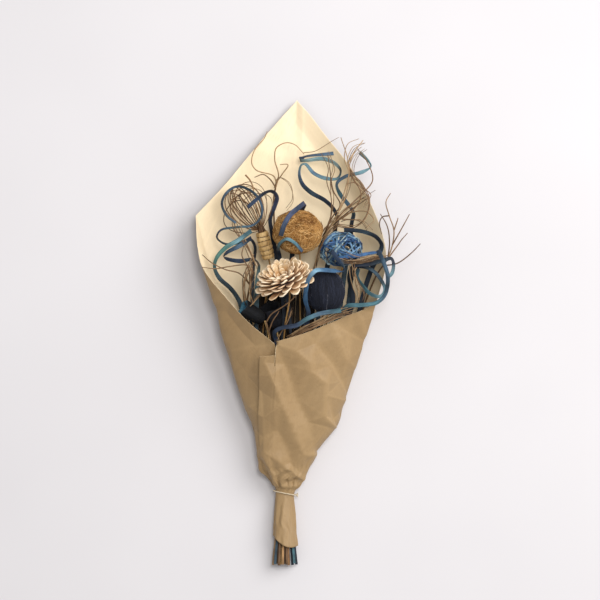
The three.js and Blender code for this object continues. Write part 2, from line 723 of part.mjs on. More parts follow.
function bellCup(cup) {
  const base = vector(cup.base);
  const mouth = vector(cup.mouth);
  const length = base.distanceTo(mouth);
  const wide = cup.mouthRadius;
  const profile = [
    ...CUP_OUTSIDE.map(([r, h]) => new THREE.Vector2(r * wide, h * length)),
    ...CUP_INSIDE.map(([r, h]) => new THREE.Vector2(r * wide - CUP_WALL, h * length)),
    new THREE.Vector2(0, CUP_FLOOR * length),
  ];
  const shell = new THREE.LatheGeometry(profile, CUP_SEGMENTS);
  shell.applyQuaternion(turnFromY(mouth.clone().sub(base).normalize()));
  shell.translate(base.x, base.y, base.z);
  return shell;
}

addPiece("bell_cup_left", bellCup(LEFT_CUP), CUP_NAVY);
addPiece("bell_cup_back", bellCup(BACK_CUP), CUP_BLACK);

// ---------------------------------------------------------------- stems of the heads
const STEM_SIDES = 6;

// The point where a stem meets a ball, in the given direction from the ball's middle. The stem comes
// in at a slant, so its end keeps a little more off the ball than the gap.
function ballSeat(ball, direction, slant) {
  const unit = vector(direction).normalize();
  const onBall = 1 / Math.hypot(unit.x / ball.half[0], unit.y / ball.half[1], unit.z / ball.half[2]);
  const reach = onBall + SEAT_GAP + slant;
  return vector(ball.centre).addScaledVector(unit, reach).toArray();
}

function cupSeat(cup, slant) {
  const along = vector(cup.mouth).sub(vector(cup.base)).normalize();
  return vector(cup.base).addScaledVector(along, -SEAT_GAP - slant).toArray();
}

function headStem(row, column, mouthX, points) {
  const route = [...stemStart(row, column, mouthX), ...points];
  return rod(route, stemRadius(route.length - 1, STEM_RADIUS), STEM_SIDES);
}

const handleAlong = vector(HANDLE.to).sub(vector(HANDLE.from)).normalize();
const HANDLE_SLANT = 0.2; // what the handle's stem keeps off beside the gap
const STRAIGHT_END = 14; // length over which the flower's stem runs straight into it
const handleSeat = vector(HANDLE.from).addScaledVector(handleAlong, -SEAT_GAP - HANDLE_SLANT).toArray();
const flowerSeat = flowerPoint(0, 0, -CALYX.length - SEAT_GAP).toArray();
const belowFlower = flowerPoint(0, 0, -CALYX.length - STRAIGHT_END).toArray();

const HEAD_STEMS = [
  {
    name: "whisk_stem", row: 1, column: -3, mouthX: -36,
    points: [[-33, 340, 24], [-26, 390, 35], handleSeat],
  },
  {
    name: "coir_stem", row: 1, column: 0, mouthX: 13,
    points: [[13, 350, 27], ballSeat(COIR, [0.1, -0.8, -0.6], 0.5)],
  },
  {
    name: "woven_stem", row: 1, column: 1, mouthX: 40,
    points: [[52, 345, 22], [62, 376, 31], ballSeat(WOVEN, [0.13, -1, -0.2], 0.9)],
  },
  {
    name: "bell_cup_back_stem", row: 2, column: -1, mouthX: -14,
    points: [[-15, 292, 30], cupSeat(BACK_CUP, 0.75)],
  },
  {
    name: "navy_stem", row: 2, column: 1, mouthX: 36,
    points: [[41, 310, 44], ballSeat(NAVY, [-0.05, -0.75, -0.66], 0.15)],
  },
  {
    name: "bell_cup_left_stem", row: 3, column: -1.5, mouthX: -30,
    points: [[-28, 302, 52], cupSeat(LEFT_CUP, 0.9)],
  },
  {
    name: "sola_stem", row: 3, column: -0.5, mouthX: -9,
    points: [[-7, 310, 59], belowFlower, flowerSeat],
  },
];
for (const { name, row, column, mouthX, points } of HEAD_STEMS) {
  addPiece(name, headStem(row, column, mouthX, points), STEM_TAN);
}

// ---------------------------------------------------------------- curled cane strips
// Each goes on from its stem at the mouth through these points: X, Y, Z and the turn of the strip.
const CANES = [
  {
    name: "cane_tip_left", row: 0, column: 1, mouthX: 36, finish: CANE_TEAL,
    points: [
      [38, 340, 12, 90], [52, 405, 12, 90], [58, 434, 20, 70], [60, 446, 32, 50], [62, 455, 38, 45],
      [57, 467, 42, 45], [46, 478, 44, 50], [27, 489, 44, 60], [16, 500, 42, 50], [12, 514, 40, 30],
      [15, 525, 39, 20], [20, 526, 40, 30], [31, 514, 44, 45], [47, 507, 48, 50], [62, 507, 50, 30],
      [66, 517, 48, 20], [58, 527, 44, 40], [43, 533, 38, 50], [20, 531, 31, 30], [13, 532, 28, 5],
      [18, 536, 24, 20], [57, 541, 20, 50],
    ],
  },
  {
    name: "cane_tip_right", row: 0, column: 2, mouthX: 56, finish: CANE_TEAL,
    points: [
      [66, 340, 11, 90], [74, 400, 11, 90], [79, 428, 15, 80], [80, 442, 24, 50], [81, 451, 34, 45],
      [83, 462, 40, 40], [76, 473, 44, 50], [65, 487, 48, 50], [61, 500, 54, 30], [72, 509, 58, 40],
      [94, 515, 56, 50], [105, 522, 53, 10], [104, 527, 51, 10], [91, 541, 46, 50],
    ],
  },
  {
    name: "cane_ring", row: 0, column: -2, mouthX: -52, finish: CANE_TEAL,
    points: [
      [-50, 340, 12, 90], [-48, 395, 16, 90], [-46, 418, 26, 70], [-53, 428, 40, 40],
      [-69, 422, 52, 35], [-86, 422, 58, 35], [-95, 430, 61, 30], [-90, 439, 63, 35],
      [-69, 443, 65, 40], [-49, 445, 70, 35], [-38, 455, 78, 40], [-36, 468, 82, 45],
      [-42, 482, 84, 45], [-53, 491, 84, 45], [-69, 495, 82, 45], [-82, 487, 82, 45],
      [-88, 473, 82, 45], [-82, 458, 81, 45], [-70, 448, 80, 45],
    ],
  },
  {
    name: "cane_left_wave", row: 2, column: -3, mouthX: -60, finish: CANE_TEAL,
    points: [
      [-61, 325, 32, 90], [-65, 343, 36, 70], [-69, 352, 42, 60], [-78, 364, 50, 60],
      [-92, 377, 54, 60], [-98, 390, 57, 40], [-96, 402, 60, 45], [-84, 416, 64, 60],
      [-67, 426, 70, 60], [-50, 438, 76, 60],
    ],
  },
  {
    name: "cane_left_zigzag", row: 3, column: -2.5, mouthX: -42, finish: CANE_BLUE,
    points: [
      [-44, 335, 29, 90], [-43, 368, 37, 70], [-41, 386, 50, 40], [-41, 396, 58, 10],
      [-48, 401, 61, 30], [-65, 399, 61, 60], [-82, 402, 60, 40], [-86, 405, 60, 5],
      [-82, 410, 61, 40], [-65, 419, 66, 60], [-50, 429, 70, 50],
    ],
  },
  {
    name: "cane_left_fold", row: 1, column: -2, mouthX: -14, finish: CANE_DARK,
    points: [
      [-8, 330, 20, 90], [-17, 400, 22, 90], [-24, 438, 24, 70], [-26, 455, 34, 60],
      [-20, 471, 44, 65], [-17, 482, 56, 60], [-23, 489, 72, 40], [-33, 486, 90, 40],
      [-44, 477, 96, 50], [-54, 468, 97, 50],
    ],
  },
  {
    name: "cane_over_coir", row: 1, column: -1, mouthX: 0, finish: CANE_BLUE,
    points: [
      [0, 340, 20, 90], [2, 400, 17, 90], [8, 440, 19, 80], [15, 465, 28, 60], [19, 474, 46, 60],
      [17, 473, 66, 60], [10, 467, 80, 70], [1, 459, 86, 80], [-7, 446, 92, 75], [-12, 431, 90, 70],
    ],
  },
  {
    name: "cane_coir_arc", row: 2, column: 0, mouthX: 2, finish: CANE_BLUE,
    points: [
      [-2, 340, 34, 90], [-10, 385, 36, 90], [-13, 403, 42, 80], [-15, 412, 56, 70],
      [-15, 415, 72, 60], [-13, 421, 88, 50], [-4, 427, 97, 50], [6, 422, 99, 50], [16, 411, 94, 50],
    ],
  },
  {
    name: "cane_over_navy", row: 3, column: 1, mouthX: 16, finish: CANE_BLUE,
    points: [
      [19, 305, 60, 80], [24, 331, 76, 60], [20, 348, 91, 60], [21, 364, 102, 60], [25, 377, 109, 60],
      [33, 386, 108, 60], [44, 387, 99, 60], [58, 386, 94, 50], [69, 386, 90, 10],
      [70, 390, 88, 5], [64, 398, 85, 50], [54, 412, 79, 60],
    ],
  },
  {
    name: "cane_low", row: 4, column: -0.5, mouthX: -8, finish: CANE_BLUE,
    points: [
      [-17, 294, 71, 80], [-20, 306, 78, 50], [-12, 312, 85, 50], [9, 316, 91, 60],
      [22, 324, 93, 60], [40, 331, 93, 60], [66, 335, 91, 60],
    ],
  },
  {
    name: "cane_right_sweep", row: 3, column: 2.5, mouthX: 62, finish: CANE_TEAL,
    points: [
      [59, 300, 58, 80], [62, 326, 70, 60], [73, 340, 80, 50], [94, 342, 85, 55], [112, 345, 86, 50],
      [122, 354, 86, 45], [126, 367, 86, 50], [126, 381, 86, 50], [121, 397, 84.7, 50],
      [114, 413, 83, 60],
    ],
  },
  {
    name: "cane_right_arc", row: 2, column: 3, mouthX: 76, finish: CANE_DARK,
    points: [
      [92, 340, 34, 90], [100, 370, 38, 80], [107, 390, 46, 70], [116, 408, 56, 60],
      [119, 420, 63, 50], [112, 430, 67, 50], [99, 436, 69, 50], [82, 439, 70, 50],
      [70, 439, 69, 60],
    ],
  },
  {
    name: "cane_right_loop", row: 1, column: 2, mouthX: 60, finish: CANE_TEAL,
    points: [
      [76, 340, 20, 90], [80, 375, 34, 80], [84, 388, 48, 60], [92, 392, 57, 50], [107, 387, 65, 50],
      [119, 373, 71, 50], [123, 361, 73, 45], [117, 353, 73, 45], [105, 356, 72, 50],
      [94, 367, 70, 50], [87, 379, 68, 45], [89, 389, 70, 45],
    ],
  },
  {
    name: "cane_right_hook", row: 2, column: 2, mouthX: 56, finish: CANE_DARK,
    points: [
      [74, 320, 42, 90], [82, 350, 50, 80], [77, 378, 64, 60], [82, 392, 76, 50], [104, 395, 79, 50],
      [122, 400, 80, 50], [131, 402, 80, 40], [134, 395, 79, 40], [132, 383, 79, 45],
      [127, 378, 78, 45],
    ],
  },
];
for (const { name, row, column, mouthX, points, finish: material } of CANES) {
  const whole = [...stemStart(row, column, mouthX), ...points];
  addPiece(name, strip(whole, STEM_POINTS), material);
}

// ---------------------------------------------------------------- brown branched twigs
// A trunk from the foot of the bundle, and strands that start inside it or inside each other.
const TRUNK_SIDES = 5;
const STRAND_SIDES = 3;
const TRUNK_END_RADIUS = 1.19;
const STRAND_ENDS = { from: 0.98, to: 0.68 }; // radii

const TWIGS = [
  {
    name: "twig_tip", row: 0, column: -1, mouthX: -18,
    trunk: [[-18, 340, 12], [-19, 400, 13], [-21, 450, 16], [-21, 486, 22], [-19, 496, 26], [-18, 506, 30]],
    strands: [
      [
        [-18, 503, 29], [-22, 511, 34], [-44, 518, 42], [-50, 527, 44], [-47, 543, 40],
        [-34, 560, 30], [-30, 569, 24],
      ],
      [
        [-19, 495, 26], [-15, 512, 32], [-20, 532, 38], [-18, 547, 38], [-6, 554, 34],
        [6, 552, 28], [18, 541, 16],
      ],
      [[-18, 503, 29], [-11, 512, 36], [-3, 525, 42], [-13, 525, 46]],
      [[-19, 496, 26], [-26, 506, 38], [-36, 512, 50], [-46, 508, 56]],
    ],
  },
  {
    name: "twig_bunch", row: 0, column: 0, mouthX: 20,
    trunk: [[22, 340, 12], [34, 400, 14], [41, 424, 22], [44, 434, 36], [50, 441, 52], [58, 450, 60]],
    strands: [
      [[44, 434, 36], [55, 456, 62], [65, 472, 66], [56, 491, 64], [52, 518, 60], [49, 538, 54]],
      [[50, 441, 52], [72, 460, 64], [103, 482, 60]],
      [[50, 441, 52], [64, 464, 72], [74, 491, 74], [76, 527, 68], [66, 560, 56]],
      [[58, 450, 60], [68, 462, 68], [91, 484, 72], [107, 504, 70], [99, 530, 64], [88, 545, 56]],
      [[76, 527, 68], [83, 540, 67], [95, 556, 62]],
      [[58, 450, 60], [76, 461, 62], [99, 463, 66], [109, 452, 70], [99, 442, 76]],
      [[58, 450, 60], [70, 456, 66], [86, 470, 70], [92, 486, 76], [84, 500, 80], [74, 498, 84]],
    ],
  },
  {
    name: "twig_outer", row: 1, column: 3, mouthX: 80,
    trunk: [[94, 330, 26], [104, 360, 34], [113, 381, 48], [121, 393, 58], [127, 402, 62]],
    strands: [
      [[127, 401, 62], [133, 420, 64], [135, 439, 62], [129, 458, 58], [125, 476, 54], [131, 488, 50]],
      [[133, 420, 64], [142, 436, 68], [155, 460, 70]],
      [[126, 400, 62], [136, 414, 58], [153, 436, 54]],
      [[121, 393, 58], [139, 396, 66], [156, 408, 68], [169, 421, 68]],
      [[135, 439, 62], [138, 447, 61], [141, 455, 60]],
      [[129, 458, 58], [120, 456, 66], [116, 447, 72], [119, 434, 76]],
      [[127, 401, 62], [129, 424, 72], [126, 444, 78], [117, 460, 80]],
    ],
  },
  {
    name: "twig_flower", row: 2, column: -2, mouthX: -54,
    trunk: [[-55, 320, 41], [-56, 346, 43], [-52, 368, 54], [-47, 386, 66]],
    strands: [
      [[-48, 382, 64], [-55, 393, 70], [-78, 392, 68], [-98, 389, 66], [-114, 391, 66]],
      [[-52, 368, 54], [-66, 383, 66], [-84, 388, 70], [-100, 396, 69], [-114, 407, 64]],
      [[-52, 368, 54], [-57, 378, 66], [-57, 388, 72], [-52, 398, 74], [-47, 408, 71]],
      [[-56, 346, 43], [-53, 362, 60], [-51, 378, 67], [-48, 390, 67]],
      [[-52, 368, 54], [-54, 390, 78], [-62, 406, 80], [-60, 418, 82]],
    ],
  },
  {
    name: "twig_front", row: 4, column: -1.5, mouthX: -22,
    trunk: [[-26, 300, 70], [-31, 320, 80]],
    strands: [
      [[-31, 319, 80], [-24, 330, 86], [-9, 340, 92], [5, 351, 97], [13, 361, 101]],
      [[-28, 306, 73], [-22, 322, 82], [-14, 334, 82]],
    ],
  },
  {
    name: "twig_low", row: 4, column: 0.5, mouthX: 12,
    trunk: [[8, 290, 71], [5, 302, 77]],
    strands: [
      [[6, 299, 76], [20, 311, 81], [45, 323, 84], [76, 332, 85]],
      [[6, 299, 76], [16, 306, 82], [40, 317, 85], [68, 328, 84]],
      [[6, 299, 76], [24, 314, 76], [46, 324, 75], [56, 328, 74]],
    ],
  },
];
for (const { name, row, column, mouthX, trunk, strands } of TWIGS) {
  const route = [...stemStart(row, column, mouthX), ...trunk];
  const pieces = [rod(route, stemRadius(route.length - 1, TRUNK_END_RADIUS), TRUNK_SIDES)];
  for (const strand of strands) {
    const last = strand.length - 1;
    const thinning = (index) => mix(STRAND_ENDS.from, STRAND_ENDS.to, index / last);
    pieces.push(rod(strand, thinning, STRAND_SIDES));
  }
  addPiece(name, fuse(pieces), TWIG_BROWN);
}

// ---------------------------------------------------------------- origin
// The origin is the middle of the footprint, on the surface that the bouquet lies on.
const bounds = new THREE.Box3().setFromObject(bouquet);
const footprint = bounds.getCenter(new THREE.Vector3());
bouquet.position.set(-footprint.x, -footprint.y, -bounds.min.z);

export default bouquet;
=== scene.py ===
"""A wrapped bouquet of dried and dyed plant material, lying on its back on a pale surface.

Metres. The bouquet's stem ends point to -Y and the paper's tip to +Y; the camera looks straight down.
Places are first written in millimetres from the stem ends, and then moved to where the frame has them.
"""
import itertools
import math

import bpy
import numpy as np
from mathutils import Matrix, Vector
from mathutils.geometry import delaunay_2d_cdt


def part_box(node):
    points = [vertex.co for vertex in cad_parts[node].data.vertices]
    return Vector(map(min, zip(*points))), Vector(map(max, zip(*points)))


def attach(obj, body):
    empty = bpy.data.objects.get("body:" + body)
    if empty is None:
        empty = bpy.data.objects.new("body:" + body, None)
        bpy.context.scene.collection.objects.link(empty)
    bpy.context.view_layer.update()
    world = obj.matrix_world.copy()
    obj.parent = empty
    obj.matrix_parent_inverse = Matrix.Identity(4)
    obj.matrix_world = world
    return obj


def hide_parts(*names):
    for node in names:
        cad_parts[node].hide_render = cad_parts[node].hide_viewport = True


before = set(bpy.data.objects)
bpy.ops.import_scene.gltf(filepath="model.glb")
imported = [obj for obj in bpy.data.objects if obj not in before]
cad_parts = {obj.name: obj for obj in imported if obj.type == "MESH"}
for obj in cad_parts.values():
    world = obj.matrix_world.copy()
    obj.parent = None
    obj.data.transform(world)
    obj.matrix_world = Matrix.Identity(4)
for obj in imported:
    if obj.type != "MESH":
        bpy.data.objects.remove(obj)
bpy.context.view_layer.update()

# ------------------------------------------------------------------------------------ paper wrap
# One sheet of kraft paper, about 490 by 420 mm, smooth and darker outside and paler inside; the
# paler inside is partly the kraft's own and partly painted light, for the strong light that falls
# on it. It is rolled to a cone with one corner as the tip, the right flap over the left one, pressed
# flat where it lies, crumpled by hand, and gathered to pleats where it is tied.
MM = 0.001
NAVY_BALL_CENTRE = (45.5, 360, 72)  # as laid out from the stem ends, in millimetres
ball_low, ball_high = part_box("navy_ball")
SHIFT = np.array((ball_low + ball_high) / 2) / MM - np.array(NAVY_BALL_CENTRE)


def placed(points):
    """Millimetres from the stem ends to metres in the frame."""
    return (np.asarray(points, float) + SHIFT) * MM


def unit(vectors):
    length = np.linalg.norm(vectors, axis=-1, keepdims=True)
    return vectors / np.maximum(length, 1e-12)


def smooth_through(values, at, breaks=()):
    """Values at the fractional places `at` of a list, on a smooth curve that keeps corners at breaks."""
    values = np.asarray(values, float)
    stops = [0, *breaks, len(values) - 1]
    out = np.zeros((len(at), *values.shape[1:]))
    for first, last in zip(stops, stops[1:]):
        inside = (at >= first) & (at <= last)
        run = values[first : last + 1]
        if len(run) > 2:
            before, after = 2 * run[0] - run[1], 2 * run[-1] - run[-2]
            run = np.concatenate([[before], run, [after]])
        else:
            run = np.concatenate([[2 * run[0] - run[1]], run, [2 * run[1] - run[0]]])
        local = at[inside] - first
        low = np.minimum(local.astype(int), last - first - 1)
        t = (local - low).reshape(-1, *([1] * (values.ndim - 1)))
        a, b, c, d = (run[low + k] for k in range(4))
        out[inside] = 0.5 * (
            2 * b + (c - a) * t + (2 * a - 5 * b + 4 * c - d) * t**2 + (3 * b - a - 3 * c + d) * t**3
        )
    return out


def add_piece(name, points, faces, materials, cad_nodes, face_materials=None):
    """Makes a piece of the bouquet from points in metres and faces, in the place of its CAD nodes."""
    mesh = bpy.data.meshes.new(name)
    mesh.from_pydata(np.asarray(points).tolist(), [], [list(face) for face in faces])
    for material in materials:
        mesh.materials.append(material)
    if face_materials is not None:
        mesh.polygons.foreach_set("material_index", np.asarray(face_materials, np.int32))
    mesh.polygons.foreach_set("use_smooth", np.ones(len(mesh.polygons), bool))
    mesh.update()
    piece = bpy.data.objects.new(name, mesh)
    bpy.context.scene.collection.objects.link(piece)
    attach(piece, "root")
    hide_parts(*cad_nodes)
    return piece


def paint(piece, name, values):
    """Stores one number or one colour for each point of a piece, for its material to read."""
    values = np.asarray(values, np.float32)
    kind = "FLOAT" if values.ndim == 1 else "FLOAT_COLOR"
    if kind == "FLOAT_COLOR":
        values = np.concatenate([values, np.ones((len(values), 1), np.float32)], axis=1)
    attribute = piece.data.attributes.new(name, kind, "POINT")
    attribute.data.foreach_set("value" if kind == "FLOAT" else "color", values.ravel())


def linear(red, green, blue):
    """A colour as seen on a screen, 0 to 255, as the light that it sends back."""
    share = np.array([red, green, blue]) / 255
    return tuple(np.where(share <= 0.04045, share / 12.92, ((share + 0.055) / 1.055) ** 2.4))


class Finish:
    """A material under construction: its shader, and short ways to add texture nodes to it."""

    SPECULAR = 0.3  # dry paper and plant fibre shine less than the shader's own 0.5

    def __init__(self, name, roughness, sheen=0.0):
        self.material = bpy.data.materials.new(name)
        self.material.use_nodes = True
        self.tree = self.material.node_tree
        self.shader = self.tree.nodes["Principled BSDF"]
        self.shader.inputs["Roughness"].default_value = roughness
        self.shader.inputs["Specular IOR Level"].default_value = self.SPECULAR
        self.shader.inputs["Sheen Weight"].default_value = sheen

    def node(self, kind, **settings):
        made = self.tree.nodes.new(kind)
        for name, value in settings.items():
            setattr(made, name, value)
        return made

    def link(self, source, target):
        self.tree.links.new(source, target)

    def stored(self, name, output="Fac"):
        return self.node("ShaderNodeAttribute", attribute_name=name).outputs[output]

    def where(self, scale=(1, 1, 1)):
        """A point of the piece at rest, stretched by a factor along each axis."""
        mapping = self.node("ShaderNodeMapping")
        mapping.inputs["Scale"].default_value = scale
        self.link(self.node("ShaderNodeTexCoord").outputs["Object"], mapping.inputs["Vector"])
        return mapping.outputs["Vector"]

    def noise(self, scale, detail=4.0, where=None, roughness=0.55):
        made = self.node("ShaderNodeTexNoise")
        made.inputs["Scale"].default_value = scale
        made.inputs["Detail"].default_value = detail
        made.inputs["Roughness"].default_value = roughness
        self.link(where or self.where(), made.inputs["Vector"])
        return made.outputs["Fac"]

    def cells(self, scale):
        made = self.node("ShaderNodeTexVoronoi", feature="DISTANCE_TO_EDGE")
        made.inputs["Scale"].default_value = scale
        self.link(self.where(), made.inputs["Vector"])
        return made.outputs["Distance"]

    def ramp(self, source, stops):
        """Colours or greys at places from 0 to 1 along the source."""
        made = self.node("ShaderNodeValToRGB")
        elements = made.color_ramp.elements
        while len(elements) < len(stops):
            elements.new(1)
        for element, (place, colour) in zip(elements, stops):
            element.position = place
            grey = not hasattr(colour, "__len__")
            element.color = (colour, colour, colour, 1) if grey else (*colour, 1)
        self.link(source, made.inputs["Fac"])
        return made.outputs["Color"]

    def mixed(self, share, first, second, blend="MIX"):
        """Two colours, each a socket or three numbers, mixed by a socket or a number."""
        made = self.node("ShaderNodeMix", data_type="RGBA", blend_type=blend)
        for socket, value in ((made.inputs[0], share), (made.inputs[6], first), (made.inputs[7], second)):
            if isinstance(value, bpy.types.NodeSocket):
                self.link(value, socket)
            else:
                socket.default_value = (*value, 1) if hasattr(value, "__len__") else value
        return made.outputs[2]

    def math(self, operation, first, second=0.0):
        made = self.node("ShaderNodeMath", operation=operation)
        for socket, value in zip(made.inputs, (first, second)):
            if isinstance(value, bpy.types.NodeSocket):
                self.link(value, socket)
            else:
                socket.default_value = value
        return made.outputs[0]

    def colour(self, source):
        self.link(source, self.shader.inputs["Base Color"])

    def roughness(self, source):
        self.link(source, self.shader.inputs["Roughness"])

    def bump(self, height, depth, strength=1.0):
        """Small relief of that depth in metres; a second one goes on top of the first."""
        made = self.node("ShaderNodeBump")
        made.inputs["Strength"].default_value = strength
        made.inputs["Distance"].default_value = depth
        self.link(height, made.inputs["Height"])
        normal = self.shader.inputs["Normal"]
        if normal.is_linked:
            self.link(normal.links[0].from_socket, made.inputs["Normal"])
        self.link(made.outputs["Normal"], normal)


# Round angle about the neck, and where the sheet's edge lies, from the hidden left edge over the
# front, the left side, the back and the right side to the free edge of the right flap.
WRAP_EDGE = [
    (-6, (-21, 291, 82)), (30, (-52, 317.5, 78)), (60, (-83, 351, 70)), (88, (-113, 390, 58)),
    (102, (-121, 426, 49)), (115, (-123, 459, 38)), (130, (-81, 504, 24)), (148, (-36, 560, 12)),
    (172, (9, 612, 7)), (184, (27, 592, 8)), (198, (48, 563, 11)), (212, (78, 524, 20)),
    (226, (104, 478, 33)), (240, (121, 433, 45)), (252, (125, 398, 53)), (262, (117, 361, 60)),
    (272, (107, 342, 62)), (300, (72, 327, 74)), (340, (26, 308, 83)), (384, (-17, 295, 87)),
    (391, (-18, 277, 82)), (418, (-40, 275, 79.5)),
]
WRAP_CORNERS = (5, 8, 19, 20)  # numbers of the edge points where the outline has a corner
# Rings from the hem of the skirt to the shoulder: x, y, slant, z, half width, half height, pleat.
WRAP_RINGS = [
    (-6.4, 30, -0.42, 14.4, 15.6, 13, 1), (-6.8, 62, -0.1, 13.9, 14.3, 11.1, 0.9),
    (-7, 95, -0.2, 13.6, 12.05, 9.65, 0.1), (-6, 106, -0.06, 14.6, 16.4, 12, 1.4),
    (-6, 117, 0.06, 17.4, 23.6, 16, 1.4), (-5.8, 136.6, 0.197, 20.6, 34.8, 20.1, 0.7),
    (6.9, 177.9, 0.082, 26.8, 54.3, 26.3, 0),
]
WRAP_RISE = (0.14, 0.28, 0.42, 0.56, 0.7, 0.82, 0.92, 1)
SECTION_POWER = 2 / 2.6
PLEATS = 9
FLAP_LIFT = 0.8  # how far each flap moves where they lap, the right one out and the left one in
LEFT_FLAP_TO, RIGHT_FLAP_FROM, FLAP_EASE = 100, 300, 30  # degrees round the neck
BACK_REACH, BACK_EASE = 75, 35  # degrees each way from the back that lie flat, and their soft edge
BACK_FLATNESS, BACK_DROP = 0.8, 2
HEM_DROP, HEM_BOW = 4.5, 6.5  # the hem is longest in its middle, and shorter towards its sides
PAPER_LOW, OUTSIDE_LOW = 0.45, 0.1  # how low the middle of the sheet and its outside may come
SHEET_THICKNESS = 0.35  # real kraft paper is about 0.2 mm
COLUMN_STEPS = 13
ROW_STEPS = 20


def eased(value, start, run):
    """0 at start and 1 a run further on, straight in between; a run below 0 goes the other way."""
    return np.clip((value - start) / run, 0, 1)


def signed_power(value, power):
    return np.sign(value) * np.abs(value) ** power


def flap_lift(angle):
    left = -FLAP_LIFT * eased(angle, LEFT_FLAP_TO, -FLAP_EASE)
    right = FLAP_LIFT * eased(angle, RIGHT_FLAP_FROM, FLAP_EASE)
    return left + right


def ring_points(ring, angle):
    x, y, slant, z, half_width, half_height, pleat = ring
    turn = np.radians(angle)
    fold = pleat * (0.5 + 0.5 * np.cos(PLEATS * turn))
    lift = flap_lift(angle)
    across = -signed_power(np.sin(turn), SECTION_POWER) * (half_width + fold + lift)
    height = half_height + fold * np.maximum(0, np.cos(turn)) + lift
    up = signed_power(np.cos(turn), SECTION_POWER) * height
    return np.stack([x + across, y + slant * across, z + up], axis=-1)


def wrap_surface():
    """The middle of the sheet as a fine grid of points, with each column's angle."""
    at_columns = np.linspace(0, len(WRAP_EDGE) - 1, (len(WRAP_EDGE) - 1) * COLUMN_STEPS + 1)
    angle = np.interp(at_columns, range(len(WRAP_EDGE)), [a for a, _ in WRAP_EDGE])
    edge = smooth_through([e for _, e in WRAP_EDGE], at_columns, WRAP_CORNERS)
    rows = [ring_points(ring, angle) for ring in WRAP_RINGS]
    shoulder = rows[-1]
    back = eased(np.abs(angle - 180), BACK_REACH, -BACK_EASE)
    flat = BACK_FLATNESS * back
    for rise in WRAP_RISE:
        climb = np.maximum(0, (rise - flat) / (1 - flat)) ** (1 + 2 * flat)
        row = shoulder * (1 - rise) + edge * rise
        low = shoulder[:, 2] - BACK_DROP * back
        row[:, 2] = low + (edge[:, 2] + flap_lift(angle) - low) * climb
        rows.append(row)
    rows = np.maximum(rows, [-np.inf, -np.inf, PAPER_LOW])
    at_rows = np.linspace(0, len(rows) - 1, (len(rows) - 1) * ROW_STEPS + 1)
    return smooth_through(rows, at_rows), angle, at_rows


def crumpled(u, v, pitch, seed):
    """Heights from -1 to 1 of paper crushed to flat facets of about that pitch."""
    size, start = 257, 64  # a table of heights for the corners, larger than the sheet needs
    table = np.random.default_rng(seed).uniform(-1, 1, (size, size))
    bend = 0.35 * pitch
    u, v = u + bend * np.sin(v / pitch * 1.7 + seed), v + bend * np.sin(u / pitch * 1.3)
    x, y = u / pitch + start, v / pitch + start
    i, j = np.floor(x).astype(int), np.floor(y).astype(int)
    fx, fy = x - i, y - j
    a, b, c, d = (table[(i + di) % size, (j + dj) % size] for di, dj in ((0, 0), (1, 0), (0, 1), (1, 1)))
    lower = a + (b - a) * fx + (d - b) * fy
    upper = a + (d - c) * fx + (c - a) * fy
    return np.where(fx > fy, lower, upper)


def crumples(u, v, sizes):
    """Crumples of several sizes at once, each given by its depth, pitch and seed."""
    return sum(depth * crumpled(u, v, pitch, seed) for depth, pitch, seed in sizes)


# The front is crushed to flat facets. These are the points where its folds meet, and how far each
# stands out: first along the rims of the front, where the paper keeps its place, then inside them.
FRONT_FOLDS = [
    (-114, 392, 0), (-83, 352, 0), (-60, 325, 0), (-38, 304, 0), (-20, 292, 0), (-14, 298, 0),
    (20, 308, 0), (52, 322, 0), (84, 336, 0), (118, 363, 0), (116, 330, 0), (104, 290, 0),
    (92, 255, 0), (80, 215, 0), (64, 178, 0), (46, 145, 0), (18, 116, 0), (-7, 104, 0),
    (-34, 116, 0), (-46, 140, 0), (-60, 178, 0), (-72, 212, 0), (-86, 252, 0), (-100, 292, 0),
    (-112, 340, 0),
    (-24, 252, 2.2), (-10, 214, 2.6), (4, 182, 2.2), (17, 148, 1.7),
    (-6, 264, -1.9), (9, 219, -2.4), (23, 189, -1.9), (33, 152, -0.9),
    (27, 257, 2.9), (46, 226, 2.5), (26, 267, 2.7), (46, 241, 2.9), (57, 264, -1.5), (69, 242, -1.9),
    (45, 198, 2.0), (30, 148, 1.6), (58, 192, -1.4), (8, 283, 1.3), (34, 292, -1.0), (62, 300, 1.5),
    (78, 306, -1.2), (92, 322, 1.0), (74, 272, 1.0), (82, 238, -0.7),
    (-32, 268, 0.9), (-37, 228, -0.9), (-34, 196, 1.3), (-35, 168, -0.9), (-16, 178, -1.7),
    (-33, 150, 1.3), (-14, 138, 1.7), (2, 124, -1.0), (-2, 152, -1.2), (-20, 122, -0.8),
    (-64, 306, -1.6), (-84, 332, -1.4), (-46, 288, -1.5), (-74, 282, 1.6), (-57, 250, -1.2),
    (-56, 214, 1.2), (-50, 180, -0.9), (-92, 312, 1.2), (-70, 246, 1.1),
]
FOLD_DEPTH = 1.9
# The tip of the sheet was folded once down its middle, and its left side was folded over.
INSIDE_CREASES = [
    ((18, 612), (17, 548), 30, -3.0),
    ((-8, 600), (34, 546), 12, 0.8),
    ((-32, 562), (-10, 549), 10, 1.2),
    ((-110, 470), (-30, 560), 14, 0.8),
    ((60, 540), (104, 420), 18, 1.0),
    ((-60, 540), (-112, 420), 18, 0.8),
]
# Above the string the front is crushed inwards between a few sharp ridges.
NECK_CREASES = [
    ((-38, 136), (-25, 108), 6, -3.2),
    ((-30, 138), (-20, 112), 5, 1.8),
    ((-17, 121), (-2, 129), 5, 2.2),
    ((-2, 129), (13, 115), 6, 2.6),
    ((-5, 109), (11, 113), 6, -3.4),
    ((20, 140), (6, 106), 5, -1.6),
    ((30, 150), (12, 112), 6, 1.4),
]
